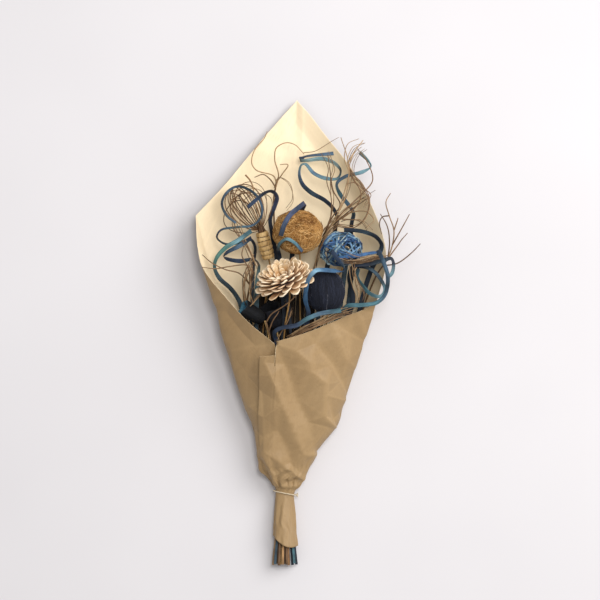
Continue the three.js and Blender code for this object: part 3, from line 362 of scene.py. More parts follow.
# The skirt below the string is creased along the stems.
SKIRT_CREASES = [
    ((-5, 92), (-12, 48), 5, 1.6),
    ((1, 84), (9, 44), 5, -1.7),
    ((-16, 80), (-19, 44), 5, -1.1),
]
# Depth, pitch and seed of the crumples round the back, over the front and in the gather.
BACK_CRUMPLES = ((0.4, 34, 3), (0.15, 13, 5))
FRONT_CRUMPLES = ((0.5, 26, 7), (0.35, 11, 9))
GATHER_CRUMPLES = ((0.8, 9, 12),)
# Where each kind of relief starts on the way up, counted in rings from the hem, and over how many
# rings it grows, or dies away where the second number is below 0.
CRUMPLES_FROM = (3, 3)
FOLDS_FROM = (3.6, 1.2)
GATHER_FROM, GATHER_TO = (2.05, 0.9), (6.3, -3.3)
NECK_CREASES_FROM = (2, 0.5)
SKIRT_TO = (1.95, -1)
# The left flap is pressed in under the right one: how far, and where by angle and by ring.
UNDER_LAP, UNDER_LAP_ANGLE, UNDER_LAP_FROM = 2.2, (32, -20), (2.6, 1.2)
FRONT_SIDES = (262, 98)  # the sheet is at the front past the first angle and before the second
FRONT_EASE = (70, 25)  # degrees from the back where the front's crumples take over
TUCKS, TUCK_DEPTH = 6, 2.9
SMALL_TUCKS, SMALL_TUCK_DEPTH = 15, 1.2
SKIRT_RIPPLES, RIPPLE_DEPTH = 12, 0.35
GIRTH_A_DEGREE = 1.6  # millimetres round the sheet
WEAR = 6  # how soon a sharp fold looks worn


def facet_heights(x, y, folds):
    """Heights over the plan of flat facets between points, each (x, y, height)."""
    corners = [Vector(fold[:2]) for fold in folds]
    _, _, facets, *_ = delaunay_2d_cdt(corners, [], [], 0, 1e-4)
    height = np.zeros_like(x)
    for facet in facets:
        (x0, y0, h0), (x1, y1, h1), (x2, y2, h2) = (folds[corner] for corner in facet)
        area = (x1 - x0) * (y2 - y0) - (x2 - x0) * (y1 - y0)
        share1 = ((x - x0) * (y2 - y0) - (x2 - x0) * (y - y0)) / area
        share2 = ((x1 - x0) * (y - y0) - (x - x0) * (y1 - y0)) / area
        inside = (share1 >= 0) & (share2 >= 0) & (share1 + share2 <= 1)
        height = np.where(inside, h0 + share1 * (h1 - h0) + share2 * (h2 - h0), height)
    return height


def crease_heights(x, y, creases):
    height = np.zeros_like(x)
    for (x0, y0), (x1, y1), width, rise in creases:
        run = np.array([x1 - x0, y1 - y0], float)
        length = np.linalg.norm(run)
        run /= length
        along = (x - x0) * run[0] + (y - y0) * run[1]
        beyond = np.maximum(0, np.maximum(-along, along - length))
        across = np.abs(run[0] * (y - y0) - run[1] * (x - x0))
        fade = np.clip(1 - beyond / (0.35 * length), 0, 1)
        height += rise * fade * np.maximum(0, 1 - across / width)
    return height


def surface_normals(points):
    along = np.gradient(points, axis=0)
    across = np.gradient(points, axis=1)
    return unit(np.cross(along, across))


def wrap_relief(surface, angle, at_rows):
    """How far the sheet stands out from its smooth surface, or in where the number is below 0."""
    x, y = surface[..., 0], surface[..., 1]
    at_row = at_rows[:, None]
    steps = np.linalg.norm(np.diff(surface, axis=0), axis=2).mean(axis=1)
    length = np.concatenate([[0], np.cumsum(steps)])[:, None] + np.zeros_like(angle)
    girth = GIRTH_A_DEGREE * angle + np.zeros_like(length)
    front = ((angle > FRONT_SIDES[0]) | (angle < FRONT_SIDES[1])) + 0 * at_row
    in_front = eased(np.abs(angle - 180), *FRONT_EASE)
    height = (1 - in_front) * crumples(girth, length, BACK_CRUMPLES)
    height += in_front * crumples(x, y, FRONT_CRUMPLES)
    height *= eased(at_row, *CRUMPLES_FROM)
    height += FOLD_DEPTH * front * eased(at_row, *FOLDS_FROM) * facet_heights(x, y, FRONT_FOLDS)
    height += (1 - front) * crease_heights(x, y, INSIDE_CREASES)
    height -= UNDER_LAP * eased(angle, *UNDER_LAP_ANGLE) * eased(at_row, *UNDER_LAP_FROM)
    # The tucks of the gather wander a little on the way up, and are deeper on some sides.
    turn = np.radians(angle)[None, :] + 0.09 * np.sin(length / 7) + 0.05 * np.sin(length / 3.1 + 2)
    tucks = np.abs(np.sin(TUCKS * turn + 1.3 * np.sin(2 * turn + 1))) ** 0.6 - 0.3
    small_tucks = np.abs(np.sin(SMALL_TUCKS * turn + 2 * np.sin(3 * turn) + length / 14)) - 0.4
    uneven = 1 + 0.6 * np.sin(2 * turn + 2) * np.cos(length / 11)
    tucked = TUCK_DEPTH * tucks * uneven + SMALL_TUCK_DEPTH * small_tucks + crumples(x, y, GATHER_CRUMPLES)
    height += eased(at_row, *GATHER_FROM) * eased(at_row, *GATHER_TO) * tucked
    height += front * eased(at_row, *NECK_CREASES_FROM) * crease_heights(x, y, NECK_CREASES)
    skirt = eased(at_row, *SKIRT_TO)
    height += skirt * front * crease_heights(x, y, SKIRT_CREASES)
    return height + skirt * RIPPLE_DEPTH * np.sin(SKIRT_RIPPLES * turn + 1.2 * np.sin(5 * turn))


def sheet_faces(rows, columns):
    """A closed skin over two grids of points, and for each face 1 on the second grid and 0 elsewhere."""
    count = rows * columns
    index = np.arange(count).reshape(rows, columns)
    quads = np.stack([index[:-1, :-1], index[:-1, 1:], index[1:, 1:], index[1:, :-1]], -1).reshape(-1, 4)
    rim = np.concatenate([index[0, :-1], index[:-1, -1], index[-1, :0:-1], index[:0:-1, 0]])
    after = np.roll(rim, -1)
    edge_faces = np.stack([after, rim, rim + count, after + count], -1)
    halves = np.concatenate([quads[:, :3], quads[:, [0, 2, 3]]])
    rims = np.concatenate([edge_faces[:, :3], edge_faces[:, [0, 2, 3]]])
    sides = np.concatenate([np.zeros(len(halves)), np.ones(len(halves)), np.zeros(len(rims))])
    return np.concatenate([halves[:, ::-1], halves + count, rims[:, ::-1]]), sides


def wrap_sheet():
    """The crumpled sheet with its thickness, its inner and outer faces told apart, and where it is worn."""
    surface, angle, at_rows = wrap_surface()
    hem_x, hem_half = WRAP_RINGS[0][0], WRAP_RINGS[0][4]
    bow = HEM_DROP - HEM_BOW * ((surface[..., 0] - hem_x) / hem_half) ** 2
    surface[..., 1] -= eased(at_rows[:, None], 1, -1) * bow
    normals = surface_normals(surface)
    height = wrap_relief(surface, angle, at_rows)
    back_normal = normals[ROW_STEPS * (len(WRAP_RINGS) + 1), len(angle) // 2]
    outward = -1 if back_normal[2] > 0 else 1
    middle = surface + (outward * height)[..., None] * normals
    middle[..., 2] = np.maximum(middle[..., 2], PAPER_LOW)
    inner = middle - outward * normals * SHEET_THICKNESS / 2
    outer = middle + outward * normals * SHEET_THICKNESS / 2
    outer[..., 2] = np.maximum(outer[..., 2], OUTSIDE_LOW)
    faces, sides = sheet_faces(*middle.shape[:2])
    if outward > 0:
        faces = faces[:, ::-1]
    points = np.concatenate([inner.reshape(-1, 3), outer.reshape(-1, 3)])
    sharpness = np.abs(np.gradient(np.gradient(height, axis=0), axis=0))
    sharpness += np.abs(np.gradient(np.gradient(height, axis=1), axis=1))
    worn = np.tile(np.clip(sharpness.ravel() * WEAR, 0, 1), 2)
    return points, faces, sides, worn


def kraft_finish(name, light, dark, roughness):
    finish = Finish(name, roughness)
    pulp = finish.noise(9, 5)
    mottle = finish.ramp(pulp, [(0.3, dark), (0.72, light)])
    fibre = finish.noise(900, 3, finish.where((1, 0.25, 1)))
    flecked = finish.mixed(0.3, mottle, finish.ramp(fibre, [(0.35, dark), (0.6, light)]))
    worn = finish.ramp(finish.stored("worn"), [(0.0, 1.0), (1.0, 1.12)])
    finish.colour(finish.mixed(1.0, flecked, worn, "MULTIPLY"))
    finish.bump(finish.noise(1400, 2), 0.00004, 0.6)
    finish.bump(finish.noise(60, 4), 0.0005, 0.35)
    return finish.material


wrap_points, wrap_faces, wrap_sides, wrap_worn = wrap_sheet()
# The inside is paler than the outside: partly the sheet's two sides differ, partly painted light for the
# strong light on the inside.
kraft_inside = kraft_finish("kraft_inside", linear(237, 219, 187), linear(230, 210, 175), 0.62)
kraft_outside = kraft_finish("kraft_outside", linear(154, 129, 94), linear(141, 115, 80), 0.5)
paper = add_piece(
    "kraft_wrap", placed(wrap_points), wrap_faces, [kraft_inside, kraft_outside], ["paper_wrap"],
    face_materials=wrap_sides,
)
paint(paper, "worn", wrap_worn)

# ------------------------------------------------------------------------------------ neck tie
# Thin undyed cotton string of three twisted plies, pulled tight round the neck of the paper and
# knotted at its right, with the two ends cut short.
NECK = {"x": -7, "y": 95, "z": 13.6, "across": 12.5, "up": 10.1, "slant": -0.2}
TIE_RADIUS = 0.8
TIE_REACH = 1.45  # from the paper to the middle of the string
TIE_POINTS = 700
PLIES = 3
PLY_OFFSET = 0.45  # from the middle of the string, as a share of its radius
LOOP_PLY, KNOT_PLY, END_PLY = 0.52, 0.5, 0.45  # radius of a ply, as the same share
TIE_TURNS, KNOT_TURNS, END_TURNS = 34, 3, 1.2  # how often the plies go round each other
KNOT_OUT = 1.3
KNOT_WRAPS = ((0.5, 1.25), (1.9, 1.1), (2.9, 1.2))  # the tilt of each in radians, and its radius
STRING_ENDS = ((0.5, -1, 0.25), (0.3, 0.9, 0.5))  # which way each cut end points
STRING_END_LENGTH = 3.2


def strand_faces(count, length, sides, closed=False):
    """The skin of strands made of rings, each strand flat at its ends or run back into itself."""
    index = np.arange(count * length * sides).reshape(count, length, sides)
    last = length if closed else length - 1
    low, high = index[:, :last], np.roll(index, -1, axis=1)[:, :last]
    faces = np.stack([low, np.roll(low, -1, 2), np.roll(high, -1, 2), high], -1).reshape(-1, 4).tolist()
    if not closed:
        faces += index[:, 0, ::-1].tolist() + index[:, -1].tolist()
    return faces


def tubes(paths, radii, sides, closed=False):
    """Round strands along paths of equal point counts: paths (k, n, 3), radii (k, n) or one number."""
    paths = np.asarray(paths, float)
    count, length = paths.shape[:2]
    radii = np.broadcast_to(radii, (count, length))
    if closed:
        tangents = unit(np.roll(paths, -1, axis=1) - np.roll(paths, 1, axis=1))
    else:
        tangents = unit(np.gradient(paths, axis=1))
    start = np.where(np.abs(tangents[:, :1, 2:]) < 0.8, [0.0, 0.0, 1.0], [1.0, 0.0, 0.0])[:, 0]
    side = unit(np.cross(tangents[:, 0], start))
    sides_along = np.zeros_like(paths)
    for i in range(length):
        side = unit(side - (side * tangents[:, i]).sum(-1, keepdims=True) * tangents[:, i])
        sides_along[:, i] = side
    other = np.cross(tangents, sides_along)
    turn = np.arange(sides) / sides * 2 * np.pi
    ring = np.cos(turn)[:, None] * sides_along[:, :, None] + np.sin(turn)[:, None] * other[:, :, None]
    points = paths[:, :, None] + ring * radii[:, :, None, None]
    return points.reshape(-1, 3), strand_faces(count, length, sides, closed)


def joined(bodies):
    """Several (points, faces) as one."""
    points, faces, start = [], [], 0
    for body_points, body_faces in bodies:
        points.append(body_points)
        faces += [[corner + start for corner in face] for face in body_faces]
        start += len(body_points)
    return np.concatenate(points), faces


def tie_line(turn):
    """The string's middle line at turns round the neck, higher where it crosses the right flap."""
    over_seam = np.where(np.sin(turn) > 0, FLAP_LIFT, 0)
    across = signed_power(np.cos(turn), SECTION_POWER) * (NECK["across"] + TIE_REACH + FLAP_LIFT)
    up = signed_power(np.sin(turn), SECTION_POWER) * (NECK["up"] + TIE_REACH + over_seam)
    return np.stack([NECK["x"] + across, NECK["y"] + NECK["slant"] * across, NECK["z"] + up], -1)


def twisted(line, closed, turns):
    """The plies of a string that follows a line."""
    steps = len(line)
    tangents = unit(np.roll(line, -1, 0) - np.roll(line, 1, 0)) if closed else unit(np.gradient(line, axis=0))
    level = unit(np.cross(tangents, [0.15, 1, 0.1]))
    other = np.cross(tangents, level)
    twist = np.arange(steps) / steps * turns * 2 * np.pi
    plies = []
    for ply in range(PLIES):
        turn = twist + ply / PLIES * 2 * np.pi
        offset = np.cos(turn)[:, None] * level + np.sin(turn)[:, None] * other
        plies.append(line + offset * TIE_RADIUS * PLY_OFFSET)
    return plies


def string_tie():
    loop = tie_line(np.arange(TIE_POINTS) / TIE_POINTS * 2 * np.pi)
    bodies = [tubes(twisted(loop, True, TIE_TURNS), TIE_RADIUS * LOOP_PLY, 6, closed=True)]
    knot = tie_line(np.zeros(1))[0] + [KNOT_OUT, 0, 0]
    turn = np.linspace(0, 2 * np.pi, 40, endpoint=False)
    for tilt, radius in KNOT_WRAPS:
        axis = np.array([math.cos(tilt), math.sin(tilt), 0.35])
        first = unit(np.cross(axis, [0, 0, 1.0]))
        second = unit(np.cross(axis, first))
        wrap = knot + radius * (np.cos(turn)[:, None] * first + np.sin(turn)[:, None] * second)
        bodies.append(tubes(twisted(wrap, True, KNOT_TURNS), TIE_RADIUS * KNOT_PLY, 5, closed=True))
    reach = np.linspace(0, STRING_END_LENGTH, 12)[:, None]
    for direction in STRING_ENDS:
        end = knot + reach * unit(np.array(direction, float))
        bodies.append(tubes(twisted(end, False, END_TURNS), TIE_RADIUS * END_PLY, 5))
    return joined(bodies)


string_finish = Finish("cotton_string", 0.85, sheen=0.2)
string_shade = string_finish.noise(700, 3)
string_finish.colour(
    string_finish.ramp(string_shade, [(0.3, linear(168, 152, 126)), (0.7, linear(222, 208, 182))])
)
string_finish.bump(string_finish.noise(2600, 2), 0.00012, 0.8)
tie_points, tie_faces = string_tie()
add_piece("string_tie", placed(tie_points), tie_faces, [string_finish.material], ["neck_tie"])

# ------------------------------------------------------------------------------------ sola flower
# A flower cut from the pith of the sola plant: thick spoon-shaped petals, shaved thin at the tip,
# glued in layers round a small heart, cream to tan, with a painted highlight along their rims, and
# brown where they go in, partly the pith's tint and partly painted shade.
FLOWER = {"centre": (-8.5, 377, 84), "right": 21, "back": -60}  # "right" and "back" in degrees
CALYX_LENGTH = 12
HEART_SIDES = 24
HEART_PROFILE = [  # radius and height, from the middle of the heart to the foot of the calyx
    (0.5, 0), (4, -0.5), (6.5, -1), (8, -2), (7, -4), (5.6, -7), (3.4, 1 - CALYX_LENGTH),
    (2.6, -CALYX_LENGTH),
]
PETAL_ROUNDS = [  # count, root, length, width, rise in degrees, depth
    (14, 9, 30, 14, 1, -8), (14, 8, 30, 13, 10, -6), (14, 7, 29.5, 11.5, 19, -4.5),
    (13, 6, 28.5, 9.5, 28, -3.5), (12, 5.5, 26, 8.5, 36, -3), (11, 5, 22.5, 8, 43, -3),
    (9, 4.5, 18.5, 7.5, 49, -3), (7, 3.5, 14, 7, 55, -3), (5, 2.5, 10.5, 6.5, 62, -3),
    (3, 1, 7.5, 6, 72, -3),
]
PETAL_THICKNESS = 2.3
PETAL_ROWS, PETAL_SIDES = 13, 14


def turned(points, axis, degrees):
    """Points turned about the x, y or z axis."""
    c, s = math.cos(math.radians(degrees)), math.sin(math.radians(degrees))
    matrix = {
        "x": [[1, 0, 0], [0, c, -s], [0, s, c]],
        "y": [[c, 0, s], [0, 1, 0], [-s, 0, c]],
        "z": [[c, -s, 0], [s, c, 0], [0, 0, 1]],
    }[axis]
    return points @ np.array(matrix).T


def spoon(length, width, draw):
    """One petal from its root along +X: a closed body with a thick round rim, hollow in the middle."""
    along = np.linspace(0, 1, PETAL_ROWS) ** 0.8
    outline = np.interp(along, [0, 0.3, 0.6, 0.8, 0.92, 0.98, 1], [0.28, 0.6, 0.92, 1, 0.86, 0.6, 0.3])
    wide = outline * width / 2
    thick = PETAL_THICKNESS * np.interp(along, [0, 0.5, 0.9, 1], [0.6, 0.72, 1.0, 0.75])
    lean, twist = draw.normal(0, 0.05), draw.normal(0, 0.07)
    turn = np.linspace(0, 2 * np.pi, PETAL_SIDES, endpoint=False)
    side = signed_power(np.cos(turn), 0.75)
    over = signed_power(np.sin(turn), 0.6)
    rings = []
    for i in range(PETAL_ROWS):
        cup = 0.09 * width * side**2 * (wide[i] * 2 / width) * along[i]
        curl = (0.06 + lean) * length * along[i] ** 2 + twist * side * width * along[i]
        hollow = -0.42 * thick[i] * (over > 0) * (1 - side**2) * np.clip(4 - 4 * along[i], 0, 1)
        height = over * thick[i] / 2 + hollow + cup + curl
        rings.append(np.stack([np.full(PETAL_SIDES, along[i] * length), side * wide[i], height], -1))
    reach = np.repeat(along, PETAL_SIDES)
    rim = np.maximum(np.tile(np.abs(np.cos(turn)), PETAL_ROWS), np.clip(reach * 9 - 7.6, 0, 1))
    return np.concatenate(rings), strand_faces(1, PETAL_ROWS, PETAL_SIDES), reach, rim


def flower_heart():
    """The round heart that the petals are glued to, and the calyx under it."""
    turn = np.linspace(0, 2 * np.pi, HEART_SIDES, endpoint=False)
    rings = [
        np.stack([radius * np.cos(turn), radius * np.sin(turn), np.full(HEART_SIDES, height)], -1)
        for radius, height in HEART_PROFILE
    ]
    index = np.arange(len(HEART_PROFILE) * HEART_SIDES).reshape(len(HEART_PROFILE), HEART_SIDES)
    low, high = index[:-1], index[1:]
    faces = np.stack([np.roll(low, -1, 1), low, high, np.roll(high, -1, 1)], -1).reshape(-1, 4).tolist()
    faces += [index[0].tolist(), index[-1, ::-1].tolist()]
    return np.concatenate(rings), faces


def sola_flower():
    """The whole flower, with each point's share of its petal's length, nearness to the rim and tone."""
    draw = np.random.default_rng(21)
    bodies, reaches, rims, tones = [], [], [], []
    for number, (count, root, length, width, rise, depth) in enumerate(PETAL_ROUNDS):
        for k in range(count):
            size = draw.uniform(0.93, 1.05)
            points, faces, reach, rim = spoon(length * size, width * draw.uniform(0.9, 1.12), draw)
            points = turned(points, "x", draw.normal(5, 7))
            points = turned(points, "y", -rise + draw.normal(0, 2.5))
            points += [root, 0, depth]
            points = turned(points, "z", (k + 0.5 * (number % 2) + draw.normal(0, 0.1)) / count * 360)
            bodies.append((points, faces))
            reaches.append(reach)
            rims.append(rim)
            tones.append(np.full(len(points), draw.uniform(0, 1)))
    heart = flower_heart()
    bodies.append(heart)
    for values in (reaches, rims, tones):
        values.append(np.zeros(len(heart[0])))
    points, faces = joined(bodies)
    points = turned(turned(points, "x", FLOWER["back"]), "z", FLOWER["right"]) + FLOWER["centre"]
    return points, faces, np.concatenate(reaches), np.concatenate(rims), np.concatenate(tones)


pith = Finish("sola_pith", 0.75, sheen=0.1)
pith_grain = pith.noise(420, 4, pith.where((1, 1, 0.4)))
pith_face = pith.ramp(pith_grain, [(0.3, linear(196, 166, 124)), (0.62, linear(224, 200, 164))])
# Painted highlight: the rims of the petals are painted lighter than their faces.
pith_rim_highlight = pith.ramp(pith_grain, [(0.3, linear(232, 210, 178)), (0.7, linear(250, 236, 212))])
pith_rim_highlight_share = pith.ramp(pith.stored("rim"), [(0.7, 0.0), (0.97, 1.0)])
pith_top = pith.mixed(pith_rim_highlight_share, pith_face, pith_rim_highlight)
# Brown towards the roots of the petals: partly the pith's own tint and partly painted shade where they go in
# among the others.
pith_root_tint_and_shade = pith.ramp(
    pith.stored("reach"),
    [
        (0.1, linear(84, 56, 32)), (0.45, linear(184, 148, 106)), (0.68, linear(236, 218, 192)),
        (0.85, (1, 1, 1)),
    ],
)
pith_toned = pith.ramp(pith.stored("tone"), [(0.0, linear(226, 206, 186)), (0.6, (1, 1, 1))])
pith.colour(pith.mixed(1.0, pith.mixed(1.0, pith_top, pith_root_tint_and_shade, "MULTIPLY"), pith_toned, "MULTIPLY"))
pith.bump(pith_grain, 0.0004, 0.5)
flower_points, flower_faces, flower_reach, flower_rim, flower_tone = sola_flower()
flower = add_piece(
    "sola_petals", placed(flower_points), flower_faces, [pith.material], ["sola_flower"]
)
paint(flower, "reach", flower_reach)
paint(flower, "rim", flower_rim)
paint(flower, "tone", flower_tone)

# ------------------------------------------------------------------------------------ coir ball
# A ball of coconut fibre, pressed and wound so that the short stiff fibres lie every way over its
# surface, with loose ends that stand out a little.
COIR = {"centre": (10, 437, 62), "half": (32, 28, 30)}
COIR_FIBRES = 3600
COIR_FIBRE_POINTS = 7
FIBRE_SIDES = 3
COIR_CEILING = 92.2  # the fibres lie flat where a strip passes close over the ball
# Painted shade: the ball under the fibres is darker than them, so that the gaps between them read as shaded.
COIR_CORE_SHADE_TONE = 0.12


def ball_skin(ball, around, bands, relief):
    """A closed ball, its poles towards -Y and +Y, that stands up and down by a formula."""
    height = np.linspace(-np.pi / 2, np.pi / 2, bands + 1)[1:-1, None]
    turn = np.arange(around)[None] / around * 2 * np.pi
    shape = 1 + relief(turn + 0 * height, height + 0 * turn)
    flat = np.cos(height) * shape
    points = np.stack([flat * np.cos(turn), np.sin(height) * shape, flat * np.sin(turn)], -1)
    index = np.arange((bands - 1) * around).reshape(bands - 1, around)
    low, high = index[:-1], index[1:]
    faces = np.stack([low, high, np.roll(high, -1, 1), np.roll(low, -1, 1)], -1).reshape(-1, 4).tolist()
    south, north = (bands - 1) * around, (bands - 1) * around + 1
    for k in range(around):
        after = (k + 1) % around
        faces.append([south, index[0, k], index[0, after]])
        faces.append([north, index[-1, after], index[-1, k]])
    points = np.concatenate([points.reshape(-1, 3), [[0, -1, 0], [0, 1, 0]]])
    return points * ball["half"] + ball["centre"], faces


def coir_relief(turn, height):
    """Low lumps where the fibre is wound thicker."""
    wave = 0.018 * np.sin(9 * turn + 6 * height) * np.cos(height)
    return wave + 0.016 * np.sin(7 * height - 5 * turn) - 0.012


def coir_fibres():
    """The fibres on the ball, a few of them stray at one end, and the draw that goes on to their tones."""
    draw = np.random.default_rng(5)
    start = unit(draw.normal(size=(COIR_FIBRES, 3)))
    heading = unit(np.cross(start, draw.normal(size=(COIR_FIBRES, 3))))
    reach = draw.uniform(0.12, 0.42, (COIR_FIBRES, 1))
    bend = draw.normal(0, 0.9, (COIR_FIBRES, 1))
    lift = draw.uniform(-0.008, 0.026, (COIR_FIBRES, 1))
    stray = (draw.uniform(size=(COIR_FIBRES, 1)) > 0.95) * draw.uniform(0.02, 0.07, (COIR_FIBRES, 1))
    side = np.cross(start, heading)
    paths = []
    for step in np.linspace(-1, 1, COIR_FIBRE_POINTS):
        spot = start + heading * reach * step + side * reach * bend * step**2 * 0.5
        turn, height = np.arctan2(spot[:, 2], spot[:, 0]), np.arcsin(np.clip(unit(spot)[:, 1], -1, 1))
        high = 1 + coir_relief(turn, height)[:, None] + lift + stray * (step + 1) ** 2 / 4
        paths.append(unit(spot) * high)
    paths = np.stack(paths, axis=1) * COIR["half"] + COIR["centre"]
    paths[..., 2] = np.minimum(paths[..., 2], COIR_CEILING)
    return tubes(paths, draw.uniform(0.18, 0.4, (COIR_FIBRES, 1)), FIBRE_SIDES), draw


coir = Finish("coir_fibre", 0.85)
coir_tone = coir.ramp(
    coir.stored("tone"),
    [
        (0.0, linear(84, 56, 28)), (0.3, linear(146, 102, 52)), (0.7, linear(196, 148, 84)),
        (1.0, linear(238, 200, 138)),
    ],
)
coir_patch = coir.ramp(coir.noise(38, 3), [(0.35, linear(196, 180, 160)), (0.6, (1, 1, 1))])
coir.colour(coir.mixed(1.0, coir_tone, coir_patch, "MULTIPLY"))
coir.bump(coir.noise(2200, 2), 0.0003, 0.7)
coir_fibre_body, coir_draw = coir_fibres()
coir_core = ball_skin(COIR, 96, 60, coir_relief)
coir_points, coir_faces = joined([coir_core, coir_fibre_body])
coir_ball = add_piece(
    "coir_ball_fibres", placed(coir_points), coir_faces, [coir.material], ["coir_ball"]
)
coir_tones = np.repeat(coir_draw.uniform(0.1, 1, COIR_FIBRES), COIR_FIBRE_POINTS * FIBRE_SIDES)
paint(coir_ball, "tone", np.concatenate([np.full(len(coir_core[0]), COIR_CORE_SHADE_TONE), coir_tones]))

# ------------------------------------------------------------------------------------ navy ball
# A ball of long palm fibre dyed almost black blue, its strands laid from pole to pole and parted by
# narrow grooves, matt, with paler broken ends.
NAVY = {"centre": NAVY_BALL_CENTRE, "half": (26, 28, 27)}
NAVY_LAYS = 15
NAVY_FIBRES = 1500
NAVY_FIBRE_POINTS = 9
NEAR_POLE = 1.53  # radians from the middle, where the strands stop short of the poles
# Painted shade: the ball under the strands is darker than most of them, so that the grooves between them read
# as shaded.
NAVY_CORE_SHADE_TONE = 0.1


def navy_relief(turn, height):
    """Narrow grooves from pole to pole, deeper on some sides than on others."""
    wander = 1.4 * np.sin(2 * turn + 1) + 0.8 * np.sin(3 * height + 2 * turn)
    groove = 0.5 - 0.5 * np.cos(NAVY_LAYS * turn + wander)
    deep = 0.5 + 0.5 * np.sin(3 * turn + 0.5) ** 3
    return -(0.012 + 0.022 * deep) * groove**4 * np.cos(height) - 0.005


def navy_strands():
    """The strands on the ball, a few of them crossing the others, and the draw for their tones."""
    draw = np.random.default_rng(8)
    turn0 = draw.uniform(0, 2 * np.pi, (NAVY_FIBRES, 1))
    from_height = draw.uniform(-1.5, 1.0, (NAVY_FIBRES, 1))
    span = draw.uniform(0.3, 1.5, (NAVY_FIBRES, 1))
    step = np.linspace(0, 1, NAVY_FIBRE_POINTS)[None]
    height = np.clip(from_height + span * step, -NEAR_POLE, NEAR_POLE)
    crossing = draw.uniform(size=(NAVY_FIBRES, 1)) > 0.93
    slope = np.where(
        crossing, draw.normal(0, 0.7, (NAVY_FIBRES, 1)), draw.normal(0, 0.05, (NAVY_FIBRES, 1))
    )
    turn = turn0 + slope * step + 0.03 * np.sin(5 * step + 9 * turn0)
    high = 1 + navy_relief(turn, height) + draw.uniform(-0.004, 0.010, (NAVY_FIBRES, 1))
    flat = np.cos(height) * high
    paths = np.stack([flat * np.cos(turn), np.sin(height) * high, flat * np.sin(turn)], -1)
    radii = draw.uniform(0.12, 0.3, (NAVY_FIBRES, 1))
    return tubes(paths * NAVY["half"] + NAVY["centre"], radii, FIBRE_SIDES), draw


navy = Finish("navy_fibre", 0.85)
navy.colour(navy.ramp(
    navy.stored("tone"),
    [
        (0.0, linear(17, 19, 28)), (0.6, linear(32, 36, 50)), (0.92, linear(48, 54, 74)),
        (1.0, linear(104, 104, 112)),
    ],
))
navy.bump(navy.noise(1800, 2, navy.where((1, 0.2, 1))), 0.0003, 0.6)
navy_fibre_body, navy_draw = navy_strands()
navy_core = ball_skin(NAVY, 160, 40, navy_relief)
navy_points, navy_faces = joined([navy_core, navy_fibre_body])
navy_ball = add_piece(
    "navy_ball_fibres", placed(navy_points), navy_faces, [navy.material], ["navy_ball"]
)
navy_tones = np.repeat(navy_draw.beta(2, 3, NAVY_FIBRES) * 1.15, NAVY_FIBRE_POINTS * FIBRE_SIDES)
navy_core_tones = np.full(len(navy_core[0]), NAVY_CORE_SHADE_TONE)
paint(navy_ball, "tone", np.concatenate([navy_core_tones, np.clip(navy_tones, 0, 1)]))

# ------------------------------------------------------------------------------------ woven ball
# An openwork ball of split cane, dyed bright blue: strips bent to hoops and pushed through each
# other in many directions, with one loose end that stands out to the right.
WOVEN = {"centre": (65.5, 415, 47), "half": (30, 24, 25)}
MAIN_HOOPS = [  # lean and spin in degrees, and size
    (8, 0, 1), (35, 70, 0.985), (52, 150, 0.97), (64, 20, 1), (78, 100, 0.985), (88, 55, 0.97),
    (84, 155, 1),
]
MAIN_HOOP_WIDTH, MAIN_HOOP_SHIFT = 2.3, 1.9  # each is a pair of strips, side by side
FINE_HOOPS = 22
FURTHEST_SHIFT = 0.7  # of the ball's radius
HOOP_POINTS = 84
HOOP_THICKNESS = 0.9
LOOSE_END = [
    (58, 403, 66, 70), (71, 404, 71, 75), (88, 406, 74, 75), (104, 409, 73, 60), (119, 411, 72, 60),
]
LOOSE_END_WIDTHS = [4.6, 4.6, 1.2]  # at its root, at four fifths and at its tip
LOOSE_END_THICKNESS = 1.0
LOOSE_END_TONE = 0.3
LOOSE_END_SPAN = 12
STRIP_SECTION = [  # across and through a strip, as shares of half its width and thickness
    (-1, -0.5), (-0.86, -1), (0, -0.75), (0.86, -1), (1, -0.5), (1, 0.5), (0.86, 1), (0, 0.75),
    (-0.86, 1), (-1, 0.5),
]
CRISP_ANGLE = 32


def bands(paths, wide, thick, widths, thicknesses, closed=False):
    """Flat strips with softened edges along paths (k, n, 3), their broad side along `wide`."""
    paths = np.asarray(paths, float)
    count, length = paths.shape[:2]
    across = np.array([corner[0] for corner in STRIP_SECTION])
    through = np.array([corner[1] for corner in STRIP_SECTION])
    widths = np.broadcast_to(widths, (count, length))[:, :, None, None] / 2
    thicknesses = np.broadcast_to(thicknesses, (count, length))[:, :, None, None] / 2
    points = (
        paths[:, :, None] + across[:, None] * widths * wide[:, :, None]
        + through[:, None] * thicknesses * thick[:, :, None]
    )
    faces = strand_faces(count, length, len(STRIP_SECTION), closed)
    return points.reshape(-1, 3), faces, np.tile(across, count * length)


def bent_through(points, per_span):
    """A smooth path through given points, its speed set by the roots of the distances."""
    p = np.asarray(points, float)
    p = np.concatenate([[2 * p[0] - p[1]], p, [2 * p[-1] - p[-2]]])
    gap = np.maximum(np.sqrt(np.linalg.norm(np.diff(p[:, :3], axis=0), axis=1)), 1e-3)
    out, t = [], np.linspace(0, 1, per_span, endpoint=False)[:, None]
    for i in range(1, len(p) - 2):
        a, b, c, d = p[i - 1 : i + 3]
        g0, g1, g2 = gap[i - 1 : i + 2]
        m0 = g1 * ((b - a) / g0 - (c - a) / (g0 + g1) + (c - b) / g1)
        m1 = g1 * ((c - b) / g1 - (d - b) / (g1 + g2) + (d - c) / g2)
        out.append(b + m0 * t + (3 * (c - b) - 2 * m0 - m1) * t**2 + (2 * (b - c) + m0 + m1) * t**3)
    return np.concatenate([*out, p[-2:-1]])


def crisp(piece):
    """Keeps the long corners of flat strips sharp."""
    piece.data.set_sharp_from_angle(angle=math.radians(CRISP_ANGLE))
    return piece


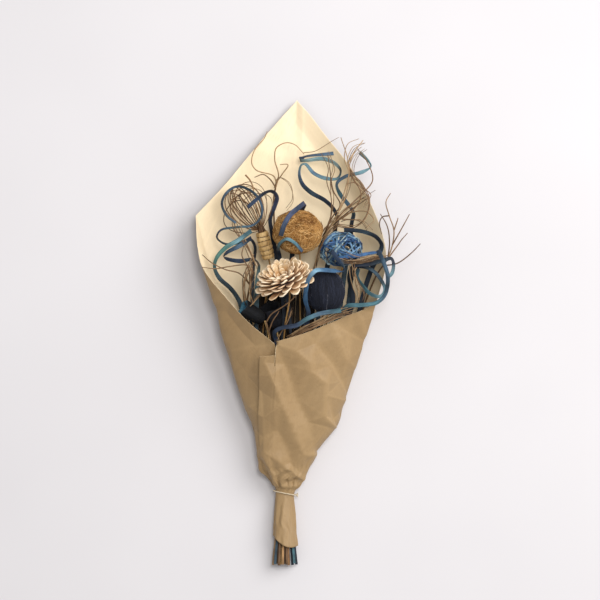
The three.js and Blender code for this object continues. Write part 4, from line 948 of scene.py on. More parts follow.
def strip_axes(points, path, per_span):
    """Broad and thin directions of a strip whose points give its turn: 0 on edge, 90 flat."""
    tangents = unit(np.gradient(path, axis=0))
    level_before, wides = None, []
    for i, point in enumerate(points):
        tangent = tangents[i * per_span]
        level = unit(np.cross(tangent, [0.0, 0.0, 1.0]))
        if level_before is not None and level @ level_before < 0:
            level = -level
        level_before = level
        upward = np.cross(level, tangent)
        turn = math.radians(point[3])
        wides.append(upward * math.cos(turn) + level * math.sin(turn))
    at = np.linspace(0, len(points) - 1, len(path))
    wide = np.stack([np.interp(at, range(len(points)), [w[k] for w in wides]) for k in range(3)], -1)
    wide = unit(wide - (wide * tangents).sum(-1, keepdims=True) * tangents)
    return wide, np.cross(wide, tangents)


def angular_ring(turn, corners, draw):
    """A ring of straight stretches between creased corners, as a share of the full round reach."""
    at = np.sort((np.arange(corners) + draw.uniform(-0.32, 0.32, corners)) / corners) * 2 * np.pi
    out = draw.uniform(0.93, 1.0, corners)
    at, out = np.concatenate([at, at[:1] + 2 * np.pi]), np.concatenate([out, out[:1]])
    turned_on = np.where(turn < at[0], turn + 2 * np.pi, turn)
    x, y = np.interp(turned_on, at, out * np.cos(at)), np.interp(turned_on, at, out * np.sin(at))
    return np.stack([x, y, 0 * turn], -1)


def woven_hoops():
    """All the hoops and the loose end, with each point's tone."""
    draw = np.random.default_rng(14)
    mean = sum(WOVEN["half"]) / 3
    stretch = np.array(WOVEN["half"]) / mean
    turn = np.arange(HOOP_POINTS) / HOOP_POINTS * 2 * np.pi
    hoops = [
        (lean, spin, scale, MAIN_HOOP_WIDTH, shift)
        for lean, spin, scale in MAIN_HOOPS for shift in (-MAIN_HOOP_SHIFT, MAIN_HOOP_SHIFT)
    ]
    for _ in range(FINE_HOOPS):
        lean, spin = math.degrees(math.acos(draw.uniform(0, 1))), draw.uniform(0, 360)
        hoops.append((lean, spin, draw.uniform(0.84, 1.0), draw.uniform(1.1, 2.2), draw.normal(0, 8)))
    bodies, tones = [], []
    for lean, spin, scale, width, shift in hoops:
        shift = max(-FURTHEST_SHIFT * mean, min(FURTHEST_SHIFT * mean, shift))
        reach = math.sqrt((mean * scale) ** 2 - shift**2)
        path = angular_ring(turn, draw.integers(5, 9), draw) * reach + [0, 0, shift]
        outward = unit(path)
        tangents = unit(np.roll(path, -1, 0) - np.roll(path, 1, 0))
        wide = unit(np.cross(outward, tangents))
        tip = draw.normal(0, 0.5) + 0.4 * np.sin(turn * draw.integers(1, 4) + draw.uniform(0, 6))
        thick = np.cross(tangents, wide)
        wide, thick = (
            wide * np.cos(tip)[:, None] + thick * np.sin(tip)[:, None],
            thick * np.cos(tip)[:, None] - wide * np.sin(tip)[:, None],
        )
        path, wide, thick = (turned(turned(v, "x", lean), "z", spin) for v in (path, wide, thick))
        path = path * stretch + WOVEN["centre"]
        points, faces, _ = bands(path[None], wide[None], thick[None], width, HOOP_THICKNESS, closed=True)
        bodies.append((points, faces))
        tones.append(np.full(len(points), draw.uniform(0, 1)))
    path = bent_through([p[:3] for p in LOOSE_END], LOOSE_END_SPAN)
    wide, thick = strip_axes(LOOSE_END, path, LOOSE_END_SPAN)
    widths = np.interp(np.linspace(0, 1, len(path)), [0, 0.8, 1], LOOSE_END_WIDTHS)
    points, faces, _ = bands(path[None], wide[None], thick[None], widths, LOOSE_END_THICKNESS)
    bodies.append((points, faces))
    tones.append(np.full(len(points), LOOSE_END_TONE))
    points, faces = joined(bodies)
    return points, faces, np.concatenate(tones)


woven = Finish("bright_cane", 0.5)
woven_tone = woven.ramp(
    woven.stored("tone"),
    [
        (0.0, linear(32, 44, 64)), (0.25, linear(54, 92, 138)), (0.5, linear(96, 140, 180)),
        (0.75, linear(148, 184, 204)), (0.88, linear(174, 196, 198)), (0.94, linear(172, 148, 114)),
    ],
)
woven_streak = woven.ramp(woven.noise(260, 4), [(0.35, linear(150, 164, 180)), (0.65, (1, 1, 1))])
woven.colour(woven.mixed(1.0, woven_tone, woven_streak, "MULTIPLY"))
woven.bump(woven.noise(900, 3), 0.0003, 0.6)
woven_points, woven_faces, woven_tones = woven_hoops()
woven_ball = crisp(add_piece(
    "woven_ball_strips", placed(woven_points), woven_faces, [woven.material], ["woven_ball"]
))
paint(woven_ball, "tone", woven_tones)

# ------------------------------------------------------------------------------------ whisk
# A cage of thin split cane and vine loops that leave one point, cross each other at the far end and
# come back. Their gathered ends sit in a sleeve of pale peel, wound tight with dark thread.
WHISK = {"base": (-40, 441, 46), "direction": (-0.52, 0.855, 0), "length": 66, "width": 30}
HANDLE = {"from": (-28, 403, 38), "to": (-37, 437, 45), "radius": 9.5}
LOOPS, LOOP_RADIUS, LOOP_SIDES = 8, 0.68, 6
LOOSE_LOOPS, LOOSE_LOOP_SIDES = 9, 5
LOOP_POINTS = 64
GATHERED_ENDS, GATHERED_RADIUS, GATHERED_POINTS, GATHERED_SIDES = 26, 0.8, 12, 5
GATHERED_FROM, GATHERED_REACH = 0.3, 9.5  # how far out of the sleeve's mouth the ends start and go
GATHERED_INSET, GATHERED_SPREAD = 3.2, 3.6  # in from the sleeve's side, and from the middle further out
STUB = [(-47, 486, 58), (-48, 495, 60), (-52, 504, 61), (-58, 511, 60)]  # a broken thick piece
STUB_TONE = 0.9
THREAD_TURNS = 6
THREAD_RADIUS = 0.33
PEEL_PINCH = 0.7  # how far the peel swells between the turns of thread
SLEEVE_ROWS, SLEEVE_SIDES = 72, 40


def cage_loop(along, spin, length, width, base_width):
    """A loop that leaves the sleeve and comes back, its share of the width at the base, and its side."""
    level = unit(np.cross([0.0, 0.0, 1.0], along))
    side = level * math.cos(spin) + np.array([0, 0, math.sin(spin)])
    turn = np.linspace(0, 2 * np.pi, LOOP_POINTS)
    out = (1 - np.cos(turn)) / 2
    swing = np.sin(turn) * (base_width + (1 - base_width) * out)
    return WHISK["base"] + np.outer(out * length, along) + np.outer(swing * width, side), side


def even_loop(number):
    """One of the thick loops, which stand at even turns round the cage and differ in size."""
    along = unit(np.array(WHISK["direction"], float))
    spin = math.radians(number * 180 / LOOPS + 8 * math.sin(3 * number))
    length = WHISK["length"] * (0.78 + 0.22 * abs(math.sin(2.1 * number + 1)))
    width = WHISK["width"] * (0.72 + 0.26 * abs(math.cos(1.7 * number)))
    return cage_loop(along, spin, length, width, 0.55)[0]


def loose_loop(draw):
    """A thin loop that lies aslant among the others, sways to one side and has small kinks."""
    along = turned(unit(np.array(WHISK["direction"], float))[None], "z", draw.normal(0, 17))[0]
    spin = draw.uniform(0, math.pi)
    length, width = WHISK["length"] * draw.uniform(0.7, 0.98), WHISK["width"] * draw.uniform(0.7, 0.98)
    loop, side = cage_loop(along, spin, length, width, 0.45)
    half_turn = np.linspace(0, 2 * np.pi, LOOP_POINTS) / 2
    sway = np.outer(np.sin(half_turn) * draw.normal(0, 3), np.cross(along, side))
    kinks = smooth_through(draw.normal(0, 0.7, (9, 3)), np.linspace(0, 8, LOOP_POINTS))
    return loop + sway + kinks


def handle_axes():
    """Where the sleeve starts, its direction and length, and two directions across it."""
    start, end = np.array(HANDLE["from"], float), np.array(HANDLE["to"], float)
    along = unit(end - start)
    level = unit(np.cross(along, [0, 0, 1.0]))
    return start, along, np.linalg.norm(end - start), level, np.cross(along, level)


def whisk_cage():
    """The loops, their gathered ends and the stub, with each point's tone."""
    draw = np.random.default_rng(31)
    even_loops = [even_loop(number) for number in range(LOOPS)]
    loose_loops = [loose_loop(draw) for _ in range(LOOSE_LOOPS)]
    _, along, _, level, other = handle_axes()
    share = np.linspace(0, 1, GATHERED_POINTS)[:, None]
    gathered = []
    for _ in range(GATHERED_ENDS):
        turn, spread = draw.uniform(0, 2 * np.pi), math.sqrt(draw.uniform(0.05, 1))
        rim = math.cos(turn) * level + math.sin(turn) * other
        inside = HANDLE["radius"] - GATHERED_INSET
        radius = inside * spread * (1 - share) + GATHERED_SPREAD * spread * share
        reach = GATHERED_FROM + GATHERED_REACH * share
        gathered.append(np.array(HANDLE["to"]) + along * reach + rim * radius)
    stub_path = bent_through(STUB, 6)
    loose_radii = draw.uniform(0.4, 0.7, (LOOSE_LOOPS, 1))
    stub = tubes([stub_path], np.linspace(0.6, 1.3, len(stub_path))[None], 7)
    points, faces = joined([
        tubes(even_loops, LOOP_RADIUS, LOOP_SIDES), tubes(loose_loops, loose_radii, LOOSE_LOOP_SIDES),
        tubes(gathered, GATHERED_RADIUS, GATHERED_SIDES), stub,
    ])
    tones = np.concatenate([
        np.repeat(draw.uniform(0.1, 0.8, LOOPS), LOOP_POINTS * LOOP_SIDES),
        np.repeat(draw.uniform(0, 1, LOOSE_LOOPS), LOOP_POINTS * LOOSE_LOOP_SIDES),
        np.repeat(draw.uniform(0, 1, GATHERED_ENDS), GATHERED_POINTS * GATHERED_SIDES),
        np.full(len(stub[0]), STUB_TONE),
    ])
    return points, faces, tones


def vine_finish(name, dark, mid, light):
    finish = Finish(name, 0.65)
    tone = finish.ramp(finish.stored("tone"), [(0.0, dark), (0.5, mid), (1.0, light)])
    mottle = finish.ramp(finish.noise(120, 5), [(0.3, 0.62), (0.65, 1.08)])
    finish.colour(finish.mixed(1.0, tone, mottle, "MULTIPLY"))
    finish.bump(finish.noise(1500, 3), 0.0002, 0.6)
    return finish.material


brown_vine = vine_finish("brown_vine", linear(58, 40, 28), linear(116, 84, 56), linear(166, 130, 92))
cage_points, cage_faces, cage_tones = whisk_cage()
cage = add_piece("whisk_loops", placed(cage_points), cage_faces, [brown_vine], ["loop_whisk"])
paint(cage, "tone", cage_tones)


def whisk_sleeve():
    """The peel and the turns of thread round it, with 0 for each face of peel and 1 for thread."""
    start, along, length, level, other = handle_axes()
    turn = np.arange(SLEEVE_SIDES) / SLEEVE_SIDES * 2 * np.pi
    ring = np.cos(turn)[:, None] * level + np.sin(turn)[:, None] * other
    share = np.linspace(0, 1, SLEEVE_ROWS)
    swell = HANDLE["radius"] - 1.2 + 1.2 * np.sin(share * np.pi)
    pinch = PEEL_PINCH * (0.5 + 0.5 * np.cos(share * THREAD_TURNS * 2 * np.pi + np.pi)) ** 0.6
    radius = swell - 1.0 + pinch
    ribs = 0.12 * np.sin(11 * turn)[None] + 0.1 * np.sin(23 * turn + 2)[None]
    points = start + (share * length)[:, None, None] * along + ring * (radius[:, None] + ribs)[..., None]
    sleeve = (points.reshape(-1, 3), strand_faces(1, SLEEVE_ROWS, SLEEVE_SIDES))
    threads = []
    for k in range(THREAD_TURNS - 1):
        for shift, lean in ((-0.55, 1.3), (0.4, 0.9)):
            at = (k + 1) / THREAD_TURNS * length + shift
            sway = lean * np.sin(turn + k)
            reach = HANDLE["radius"] - 2.15 + 1.2 * math.sin(at / length * math.pi)
            threads.append(start + (at + sway)[:, None] * along + ring * reach)
    wound = tubes(threads, THREAD_RADIUS, 5, closed=True)
    points, faces = joined([sleeve, wound])
    return points, faces, np.concatenate([np.zeros(len(sleeve[1])), np.ones(len(wound[1]))])


peel = Finish("pale_peel", 0.6)
peel_grain = peel.noise(240, 5, peel.where((1, 0.3, 1)))
peel.colour(peel.ramp(
    peel_grain, [(0.25, linear(120, 88, 50)), (0.5, linear(198, 162, 106)), (0.8, linear(232, 202, 150))]
))
peel.bump(peel_grain, 0.0008, 0.6)
thread = Finish("dark_thread", 0.7)
thread.colour(thread.ramp(thread.noise(900, 2), [(0.3, linear(52, 36, 26)), (0.7, linear(96, 68, 44))]))
thread.bump(thread.noise(3000, 2), 0.0001, 0.6)
sleeve_points, sleeve_faces, sleeve_kinds = whisk_sleeve()
add_piece(
    "whisk_sleeve", placed(sleeve_points), sleeve_faces, [peel.material, thread.material],
    ["whisk_handle"], face_materials=sleeve_kinds,
)

# ------------------------------------------------------------------------------------ bell cups
# Dried seed cups with a thin woody wall, round at the foot and flared at the mouth, dyed dark navy
# and black. The dye is uneven, and it is paler and greener inside the mouth of the left one. The
# black one is painted darker inside than out, as shade.
LEFT_CUP = {"base": (-34, 322, 54), "mouth": (-62, 339, 64), "radius": 12}
BACK_CUP = {"base": (-18, 313, 28), "mouth": (-27, 340, 43), "radius": 14.5}
# Radius and height up the outside and down the inside, as shares of the mouth's radius and the length.
CUP_OUTSIDE = [
    (0.001, 0), (0.2, 0), (0.36, 0.02), (0.55, 0.08), (0.7, 0.17), (0.79, 0.3), (0.84, 0.45), (0.87, 0.62),
    (0.9, 0.8), (0.95, 0.92), (0.99, 1),
]
CUP_INSIDE = [
    (0.93, 1), (0.86, 0.92), (0.8, 0.8), (0.75, 0.62), (0.72, 0.45), (0.62, 0.3), (0.42, 0.2),
    (0.2, 0.16), (0.001, 0.15),
]
CUP_SIDES = 72
CUP_SHORTER = 0.985


def bell_cup(cup, seed):
    """A cup with five soft lobes and a wavy lip, with 1 for each face of its lining and 0 outside."""
    draw = np.random.default_rng(seed)
    base, mouth = np.array(cup["base"], float), np.array(cup["mouth"], float)
    along = unit(mouth - base)
    length = np.linalg.norm(mouth - base)
    level = unit(np.cross(along, [0, 0, 1.0]))
    other = np.cross(along, level)
    profile = CUP_OUTSIDE + CUP_INSIDE
    turn = np.arange(CUP_SIDES) / CUP_SIDES * 2 * np.pi
    ring = np.cos(turn)[:, None] * level + np.sin(turn)[:, None] * other
    lobes = 0.022 * np.sin(5 * turn + seed) + 0.014 * np.sin(13 * turn + 2 * seed)
    lobes += draw.normal(0, 0.004, CUP_SIDES)
    rows = []
    for radius, height in profile:
        uneven = 1 + lobes * (0.25 + height * 0.6) - 0.02 * height
        lip = 0.028 * np.sin(4 * turn + 1.7 * seed) * height**6
        risen = ((height + lip) * length)[:, None] * along * CUP_SHORTER
        rows.append(base + risen + ring * (radius * cup["radius"] * uneven)[:, None])
    index = np.arange(len(profile) * CUP_SIDES).reshape(len(profile), CUP_SIDES)
    low, high = index[:-1], index[1:]
    faces = np.stack([low, np.roll(low, -1, 1), np.roll(high, -1, 1), high], -1).reshape(-1, 4)
    kinds = np.repeat(np.arange(len(profile) - 1) >= len(CUP_OUTSIDE) - 1, CUP_SIDES)
    return np.concatenate(rows), faces, kinds


def cup_finish(name, dark, mid, light, rough):
    finish = Finish(name, rough)
    grain = finish.noise(160, 6)
    finish.colour(finish.ramp(grain, [(0.3, dark), (0.55, mid), (0.82, light)]))
    finish.bump(finish.noise(420, 5), 0.0009, 0.7)
    finish.bump(finish.cells(260), 0.0003, 0.5)
    return finish.material


navy_shell = cup_finish("navy_shell", linear(4, 5, 8), linear(8, 10, 15), linear(26, 29, 38), 0.75)
teal_lining = cup_finish("teal_lining", linear(24, 52, 76), linear(50, 98, 122), linear(112, 150, 148), 0.7)
black_shell = cup_finish("black_shell", linear(12, 12, 16), linear(22, 23, 30), linear(44, 46, 58), 0.8)
# Painted shade: the back cup's lining is darker than its shell.
black_lining_shade = cup_finish("black_lining_shade", linear(6, 6, 9), linear(13, 14, 19), linear(30, 32, 40), 0.85)
for cup, seed, name, node, slot, materials in (
    (LEFT_CUP, 2, "navy_bell_cup", "bell_cup_left", "navy_cup", [navy_shell, teal_lining]),
    (BACK_CUP, 5, "black_bell_cup", "bell_cup_back", "black_cup", [black_shell, black_lining_shade]),
):
    cup_points, cup_faces, cup_kinds = bell_cup(cup, seed)
    add_piece(name, placed(cup_points), cup_faces, materials, [node], face_materials=cup_kinds)

# ------------------------------------------------------------------------------------ head stems
# The heads stand on stiff straight stems of reed, tan to brown, with a small knot every few
# centimetres. They pass side by side through the neck and are cut off together at the foot.
SLOT_PITCH = 2.75
MOUTH_Y = 260
ROW_HEIGHTS = (12, 24, 36, 48, 60)
MIDDLE_ROW = 2
NECK_RUN = 10
STEM_RADIUS = 1.2
FOOT_RADIUS = 1.9
FOOT_SPREAD_ACROSS, FOOT_SPREAD_UP = 1.85, 1.55
FOOT_UNEVEN, FOOT_LENGTHS = 2.5, 5  # the feet are cut to five lengths, 2.5 mm apart in all
REED_SLIMMER = 0.1  # thinner than its solid, so that its knots hardly pass it
KNOT_PITCH, FIRST_KNOT, KNOT_SWELL = 47, 20, 0.16
STEM_SPAN, STEM_SIDES = 16, 10
SEAT_GAP = 0.3
stems_laid = itertools.count()


def stem_start(row, column, mouth_x):
    """From the foot of the bundle through its slot in the neck to its place at the mouth."""
    across, up = column * SLOT_PITCH, (row - MIDDLE_ROW) * SLOT_PITCH
    x, z = NECK["x"] + across, NECK["z"] + up
    foot = (next(stems_laid) * 7 % FOOT_LENGTHS) * FOOT_UNEVEN / (FOOT_LENGTHS - 1)
    fanned = NECK_RUN / (MOUTH_Y - NECK["y"])
    return [
        (NECK["x"] + across * FOOT_SPREAD_ACROSS, foot, NECK["z"] + up * FOOT_SPREAD_UP, 90),
        (x, NECK["y"] - NECK_RUN, z, 90),
        (x + (mouth_x - x) * fanned, NECK["y"] + NECK_RUN, z + (ROW_HEIGHTS[row] - z) * fanned, 90),
        (mouth_x, MOUTH_Y, ROW_HEIGHTS[row], 90),
    ]


def stem_radius(count, span, end_radius):
    """A stem is thick at its foot and thin from the neck on, and may run out thinner still."""
    at = np.linspace(0, count - 1, (count - 1) * span + 1)
    above = STEM_RADIUS + (end_radius - STEM_RADIUS) * at / (count - 1)
    return FOOT_RADIUS + (above - FOOT_RADIUS) * np.clip(at, 0, 1)


def walked_along(path):
    """The distance from the start of a path to each of its points."""
    return np.concatenate([[0], np.cumsum(np.linalg.norm(np.diff(path, axis=0), axis=1))])


def ball_seat(ball, direction, slant):
    """Just off a ball's surface, a little further where the stem comes in aslant."""
    ray = unit(np.array(direction, float))
    reach = 1 / np.linalg.norm(ray / ball["half"]) + SEAT_GAP + slant
    return tuple(np.array(ball["centre"]) + ray * reach)


def cup_seat(cup, slant):
    along = unit(np.array(cup["mouth"], float) - cup["base"])
    return tuple(np.array(cup["base"]) - along * (SEAT_GAP + slant))


def flower_point(z):
    """A point on the flower's own middle line, z above its heart."""
    point = turned(turned(np.array([[0.0, 0, z]]), "x", FLOWER["back"]), "z", FLOWER["right"])[0]
    return tuple(point + FLOWER["centre"])


handle_along = unit(np.array(HANDLE["to"], float) - HANDLE["from"])
handle_seat = tuple(np.array(HANDLE["from"]) - handle_along * (SEAT_GAP + 0.2))
flower_seat = [flower_point(-CALYX_LENGTH - 14), flower_point(-CALYX_LENGTH - SEAT_GAP)]
HEAD_STEMS = [  # name, row and column in the neck, x at the mouth, and the points above it
    ("whisk_stem", 1, -3, -36, [(-33, 340, 24), (-26, 390, 35), handle_seat]),
    ("coir_stem", 1, 0, 13, [(13, 350, 27), ball_seat(COIR, (0.1, -0.8, -0.6), 0.5)]),
    ("woven_stem", 1, 1, 40, [(52, 345, 22), (62, 376, 31), ball_seat(WOVEN, (0.13, -1, -0.2), 0.9)]),
    ("bell_cup_back_stem", 2, -1, -14, [(-15, 292, 30), cup_seat(BACK_CUP, 0.75)]),
    ("navy_stem", 2, 1, 36, [(41, 310, 44), ball_seat(NAVY, (-0.05, -0.75, -0.66), 0.15)]),
    ("bell_cup_left_stem", 3, -1.5, -30, [(-28, 302, 52), cup_seat(LEFT_CUP, 0.9)]),
    ("sola_stem", 3, -0.5, -9, [(-7, 310, 59), *flower_seat]),
]
stem_draw = np.random.default_rng(44)
tan_reed = vine_finish("tan_reed", linear(120, 88, 48), linear(172, 134, 80), linear(204, 170, 112))
for name, row, column, mouth_x, points in HEAD_STEMS:
    route = [p[:3] for p in stem_start(row, column, mouth_x)] + points
    path = bent_through(route, STEM_SPAN)
    knots = np.exp(-(((walked_along(path) % KNOT_PITCH) - FIRST_KNOT) ** 2) / 3) * KNOT_SWELL
    radius = stem_radius(len(route), STEM_SPAN, STEM_RADIUS) - REED_SLIMMER + knots
    stem_points, stem_faces = tubes([path], radius[None], STEM_SIDES)
    stem = add_piece(name + "_reed", placed(stem_points), stem_faces, [tan_reed], [name])
    paint(stem, "tone", np.full(len(stem_points), stem_draw.uniform(0.1, 1)))

# ------------------------------------------------------------------------------------ cane strips
# Flat strips of split cane, about 6 mm wide, soaked, curled and dyed blue or teal. The dye is deep
# where the strip was bunched and washed out towards the curls. The edges of each strip are painted
# darker, as shade.

# The dyes, as seen on a screen from 0 to 255.
INK, DEEP, BLUE, SKY = (36, 44, 56), (48, 62, 84), (60, 96, 130), (118, 156, 178)
SLATE, TEAL, SEA, PALE = (58, 76, 88), (70, 106, 116), (112, 148, 158), (160, 188, 190)
VIOLET, STEEL, MOSS, RUST = (66, 76, 104), (82, 107, 128), (80, 122, 114), (158, 118, 78)
CANE_WIDTH, CANE_THICKNESS = 6.4, 1.0
STEM_WIDTH, STEM_THICKNESS = 2.2, 2.0
FOOT_WIDTH, FOOT_THICKNESS = 3.6, 3.0
FOOT_TONES = {  # a few strips took little dye below the string
    "cane_left_wave": (150, 122, 92), "cane_left_zigzag": SLATE, "cane_low": (160, 124, 84),
    "cane_over_navy": RUST, "cane_right_sweep": TEAL,
}
FOOT_DYE_TO = (70, 20)  # from the foot, where the dye of the foot ends and how softly
MOUTH_POINT = 3  # the strip is a round stem as far as this point of its route
SLIMMER = {"cane_ring": 0.62, "cane_left_fold": 0.9, "cane_coir_arc": 0.8, "cane_right_loop": 0.9}
CANE_SPAN = 12
GRAIN_STEP = 3.7  # so that no two strips show the same grain
CANES = [  # name, finish, row, column, x at the mouth, dye at the mouth and each point, points
    ("cane_tip_left", "teal_cane", 0, 1, 36, [
        SLATE, SLATE, INK, INK, INK, DEEP, INK, DEEP, SLATE, DEEP, STEEL, SEA, SEA, STEEL, SEA,
        SEA, INK, PALE, SEA, PALE, INK, DEEP, STEEL], [
        (38, 340, 12, 90), (52, 405, 12, 90), (58, 434, 20, 70), (60, 446, 32, 50), (62, 455, 38, 45),
        (57, 467, 42, 45), (46, 478, 44, 50), (27, 489, 44, 60), (16, 500, 42, 50), (12, 514, 40, 30),
        (15, 525, 39, 20), (20, 526, 40, 30), (31, 514, 44, 45), (47, 507, 48, 50), (62, 507, 50, 30),
        (66, 517, 48, 20), (58, 527, 44, 40), (43, 533, 38, 50), (20, 531, 31, 30), (13, 532, 28, 5),
        (18, 536, 24, 20), (57, 541, 20, 50)]),
    ("cane_tip_right", "teal_cane", 0, 2, 56, [
        SLATE, SLATE, SLATE, INK, INK, DEEP, SLATE, STEEL, TEAL, STEEL, STEEL, SEA, SEA, SEA, PALE], [
        (66, 340, 11, 90), (74, 400, 11, 90), (79, 428, 15, 80), (80, 442, 24, 50), (81, 451, 34, 45),
        (83, 462, 40, 40), (76, 473, 44, 50), (65, 487, 48, 50), (61, 500, 54, 30), (72, 509, 58, 40),
        (94, 515, 56, 50), (105, 522, 53, 10), (104, 527, 51, 10), (91, 541, 46, 50)]),
    ("cane_ring", "teal_cane", 0, -2, -52, [
        SLATE, SLATE, INK, INK, DEEP, TEAL, SLATE, INK, DEEP, TEAL, STEEL, SLATE, STEEL, STEEL,
        SLATE, SLATE, STEEL, INK, SLATE, STEEL], [
        (-50, 340, 12, 90), (-48, 395, 16, 90), (-46, 418, 26, 70), (-53, 428, 40, 40),
        (-69, 422, 52, 35), (-86, 422, 58, 35), (-95, 430, 61, 30), (-90, 439, 63, 35),
        (-69, 443, 65, 40), (-49, 445, 70, 35), (-38, 455, 78, 40), (-36, 468, 82, 45),
        (-42, 482, 84, 45), (-53, 491, 84, 45), (-69, 495, 82, 45), (-82, 487, 82, 45),
        (-88, 473, 82, 45), (-82, 458, 81, 45), (-70, 448, 80, 45)]),
    ("cane_left_wave", "teal_cane", 2, -3, -60, [
        DEEP, SLATE, SLATE, SLATE, SLATE, SLATE, TEAL, MOSS, MOSS, SEA, TEAL], [
        (-61, 325, 32, 90), (-65, 343, 36, 70), (-69, 352, 42, 60), (-78, 364, 50, 60),
        (-92, 377, 54, 60), (-98, 390, 57, 40), (-96, 402, 60, 45), (-84, 416, 64, 60),
        (-67, 426, 70, 60), (-50, 438, 76, 60)]),
    ("cane_left_zigzag", "blue_cane", 3, -2.5, -42, [
        SLATE, SLATE, SEA, SEA, TEAL, SLATE, DEEP, DEEP, INK, DEEP, STEEL, DEEP], [
        (-44, 335, 29, 90), (-43, 368, 37, 70), (-41, 386, 50, 40), (-41, 396, 58, 10),
        (-48, 401, 61, 30), (-65, 399, 61, 60), (-82, 402, 60, 40), (-86, 405, 60, 5),
        (-82, 410, 61, 40), (-65, 419, 66, 60), (-50, 429, 70, 50)]),
    ("cane_left_fold", "dark_cane", 1, -2, -14, [
        INK, INK, INK, INK, DEEP, VIOLET, VIOLET, INK, INK, DEEP, DEEP], [
        (-8, 330, 20, 90), (-17, 400, 22, 90), (-24, 438, 24, 70), (-26, 455, 34, 60),
        (-20, 471, 44, 65), (-17, 482, 56, 60), (-23, 489, 72, 40), (-33, 486, 90, 40),
        (-44, 477, 96, 50), (-54, 468, 97, 50)]),
    ("cane_over_coir", "blue_cane", 1, -1, 0, [
        INK, INK, INK, INK, INK, VIOLET, VIOLET, DEEP, VIOLET, DEEP, INK], [
        (0, 340, 20, 90), (2, 400, 17, 90), (8, 440, 19, 80), (15, 465, 28, 60), (19, 474, 46, 60),
        (17, 473, 66, 60), (10, 467, 80, 70), (1, 459, 86, 80), (-7, 446, 92, 75), (-12, 431, 90, 70)]),
    ("cane_coir_arc", "blue_cane", 2, 0, 2, [
        INK, INK, INK, INK, DEEP, SLATE, TEAL, SEA, TEAL, DEEP], [
        (-2, 340, 34, 90), (-10, 385, 36, 90), (-13, 403, 42, 80), (-15, 412, 56, 70),
        (-15, 415, 72, 60), (-13, 421, 88, 50), (-4, 427, 97, 50), (6, 422, 99, 50), (16, 411, 94, 50)]),
    ("cane_over_navy", "blue_cane", 3, 1, 16, [
        DEEP, DEEP, DEEP, BLUE, BLUE, STEEL, SKY, BLUE, BLUE, DEEP, STEEL, DEEP, DEEP], [
        (19, 305, 60, 80), (24, 331, 76, 60), (20, 348, 91, 60), (21, 364, 102, 60), (25, 377, 109, 60),
        (33, 386, 108, 60), (44, 387, 99, 60), (58, 386, 94, 50), (69, 386, 90, 10),
        (70, 390, 88, 5), (64, 398, 85, 50), (54, 412, 79, 60)]),
    ("cane_low", "blue_cane", 4, -0.5, -8, [
        INK, DEEP, DEEP, DEEP, DEEP, TEAL, STEEL, TEAL], [
        (-17, 294, 71, 80), (-20, 306, 78, 50), (-12, 312, 85, 50), (9, 316, 91, 60),
        (22, 324, 93, 60), (40, 331, 93, 60), (66, 335, 91, 60)]),
    ("cane_right_sweep", "teal_cane", 3, 2.5, 62, [
        SLATE, TEAL, TEAL, TEAL, TEAL, TEAL, STEEL, SLATE, STEEL, STEEL, DEEP], [
        (59, 300, 58, 80), (62, 326, 70, 60), (73, 340, 80, 50), (94, 342, 85, 55), (112, 345, 86, 50),
        (122, 354, 86, 45), (126, 367, 86, 50), (126, 381, 86, 50), (121, 397, 84.7, 50),
        (114, 413, 83, 60)]),
    ("cane_right_arc", "dark_cane", 2, 3, 76, [
        INK, INK, INK, INK, SLATE, INK, INK, SLATE, INK, INK], [
        (92, 340, 34, 90), (100, 370, 38, 80), (107, 390, 46, 70), (116, 408, 56, 60),
        (119, 420, 63, 50), (112, 430, 67, 50), (99, 436, 69, 50), (82, 439, 70, 50),
        (70, 439, 69, 60)]),
    ("cane_right_loop", "teal_cane", 1, 2, 60, [
        SLATE, SLATE, INK, INK, INK, SLATE, SLATE, TEAL, SEA, TEAL, TEAL, TEAL, SLATE], [
        (76, 340, 20, 90), (80, 375, 34, 80), (84, 388, 48, 60), (92, 392, 57, 50), (107, 387, 65, 50),
        (119, 373, 71, 50), (123, 361, 73, 45), (117, 353, 73, 45), (105, 356, 72, 50),
        (94, 367, 70, 50), (87, 379, 68, 45), (89, 389, 70, 45)]),
    ("cane_right_hook", "dark_cane", 2, 2, 56, [
        INK, INK, INK, INK, INK, INK, SLATE, INK, INK, SEA, SEA], [
        (74, 320, 42, 90), (82, 350, 50, 80), (77, 378, 64, 60), (82, 392, 76, 50), (104, 395, 79, 50),
        (122, 400, 80, 50), (131, 402, 80, 40), (134, 395, 79, 40), (132, 383, 79, 45),
        (127, 378, 78, 45)]),
]


def cane_finish():
    finish = Finish("dyed_cane", 0.55)
    on_strip = finish.node("ShaderNodeCombineXYZ")
    finish.link(finish.math("MULTIPLY", finish.stored("along"), 0.03), on_strip.inputs["X"])
    finish.link(finish.math("MULTIPLY", finish.stored("across"), 2.2), on_strip.inputs["Y"])
    finish.link(finish.stored("number"), on_strip.inputs["Z"])
    grain = finish.noise(2.2, 6, on_strip.outputs["Vector"], 0.65)
    streaks = finish.ramp(grain, [(0.32, 0.42), (0.5, 1.0), (0.7, 1.4)])
    patches = finish.ramp(finish.noise(55, 4), [(0.35, 0.55), (0.62, 1.18)])
    # Painted shade: each strip is darker along its edges.
    edge_shade = finish.ramp(finish.math("ABSOLUTE", finish.stored("across")), [(0.86, 1.0), (1.0, 0.62)])
    shade = finish.mixed(1.0, finish.stored("dye", "Color"), streaks, "MULTIPLY")
    finish.colour(finish.mixed(1.0, finish.mixed(1.0, shade, patches, "MULTIPLY"), edge_shade, "MULTIPLY"))
    finish.roughness(finish.ramp(grain, [(0.3, 0.75), (0.7, 0.58)]))
    finish.bump(grain, 0.0004, 0.6)
    return finish.material


def dye_along(tones, share):
    """The colour at each share of the length, from the foot of the strip to its tip."""
    colours = np.array([linear(*tone) for tone in tones])
    places = np.linspace(0, 1, len(tones))
    return np.stack([np.interp(share, places, colours[:, k]) for k in range(3)], -1)


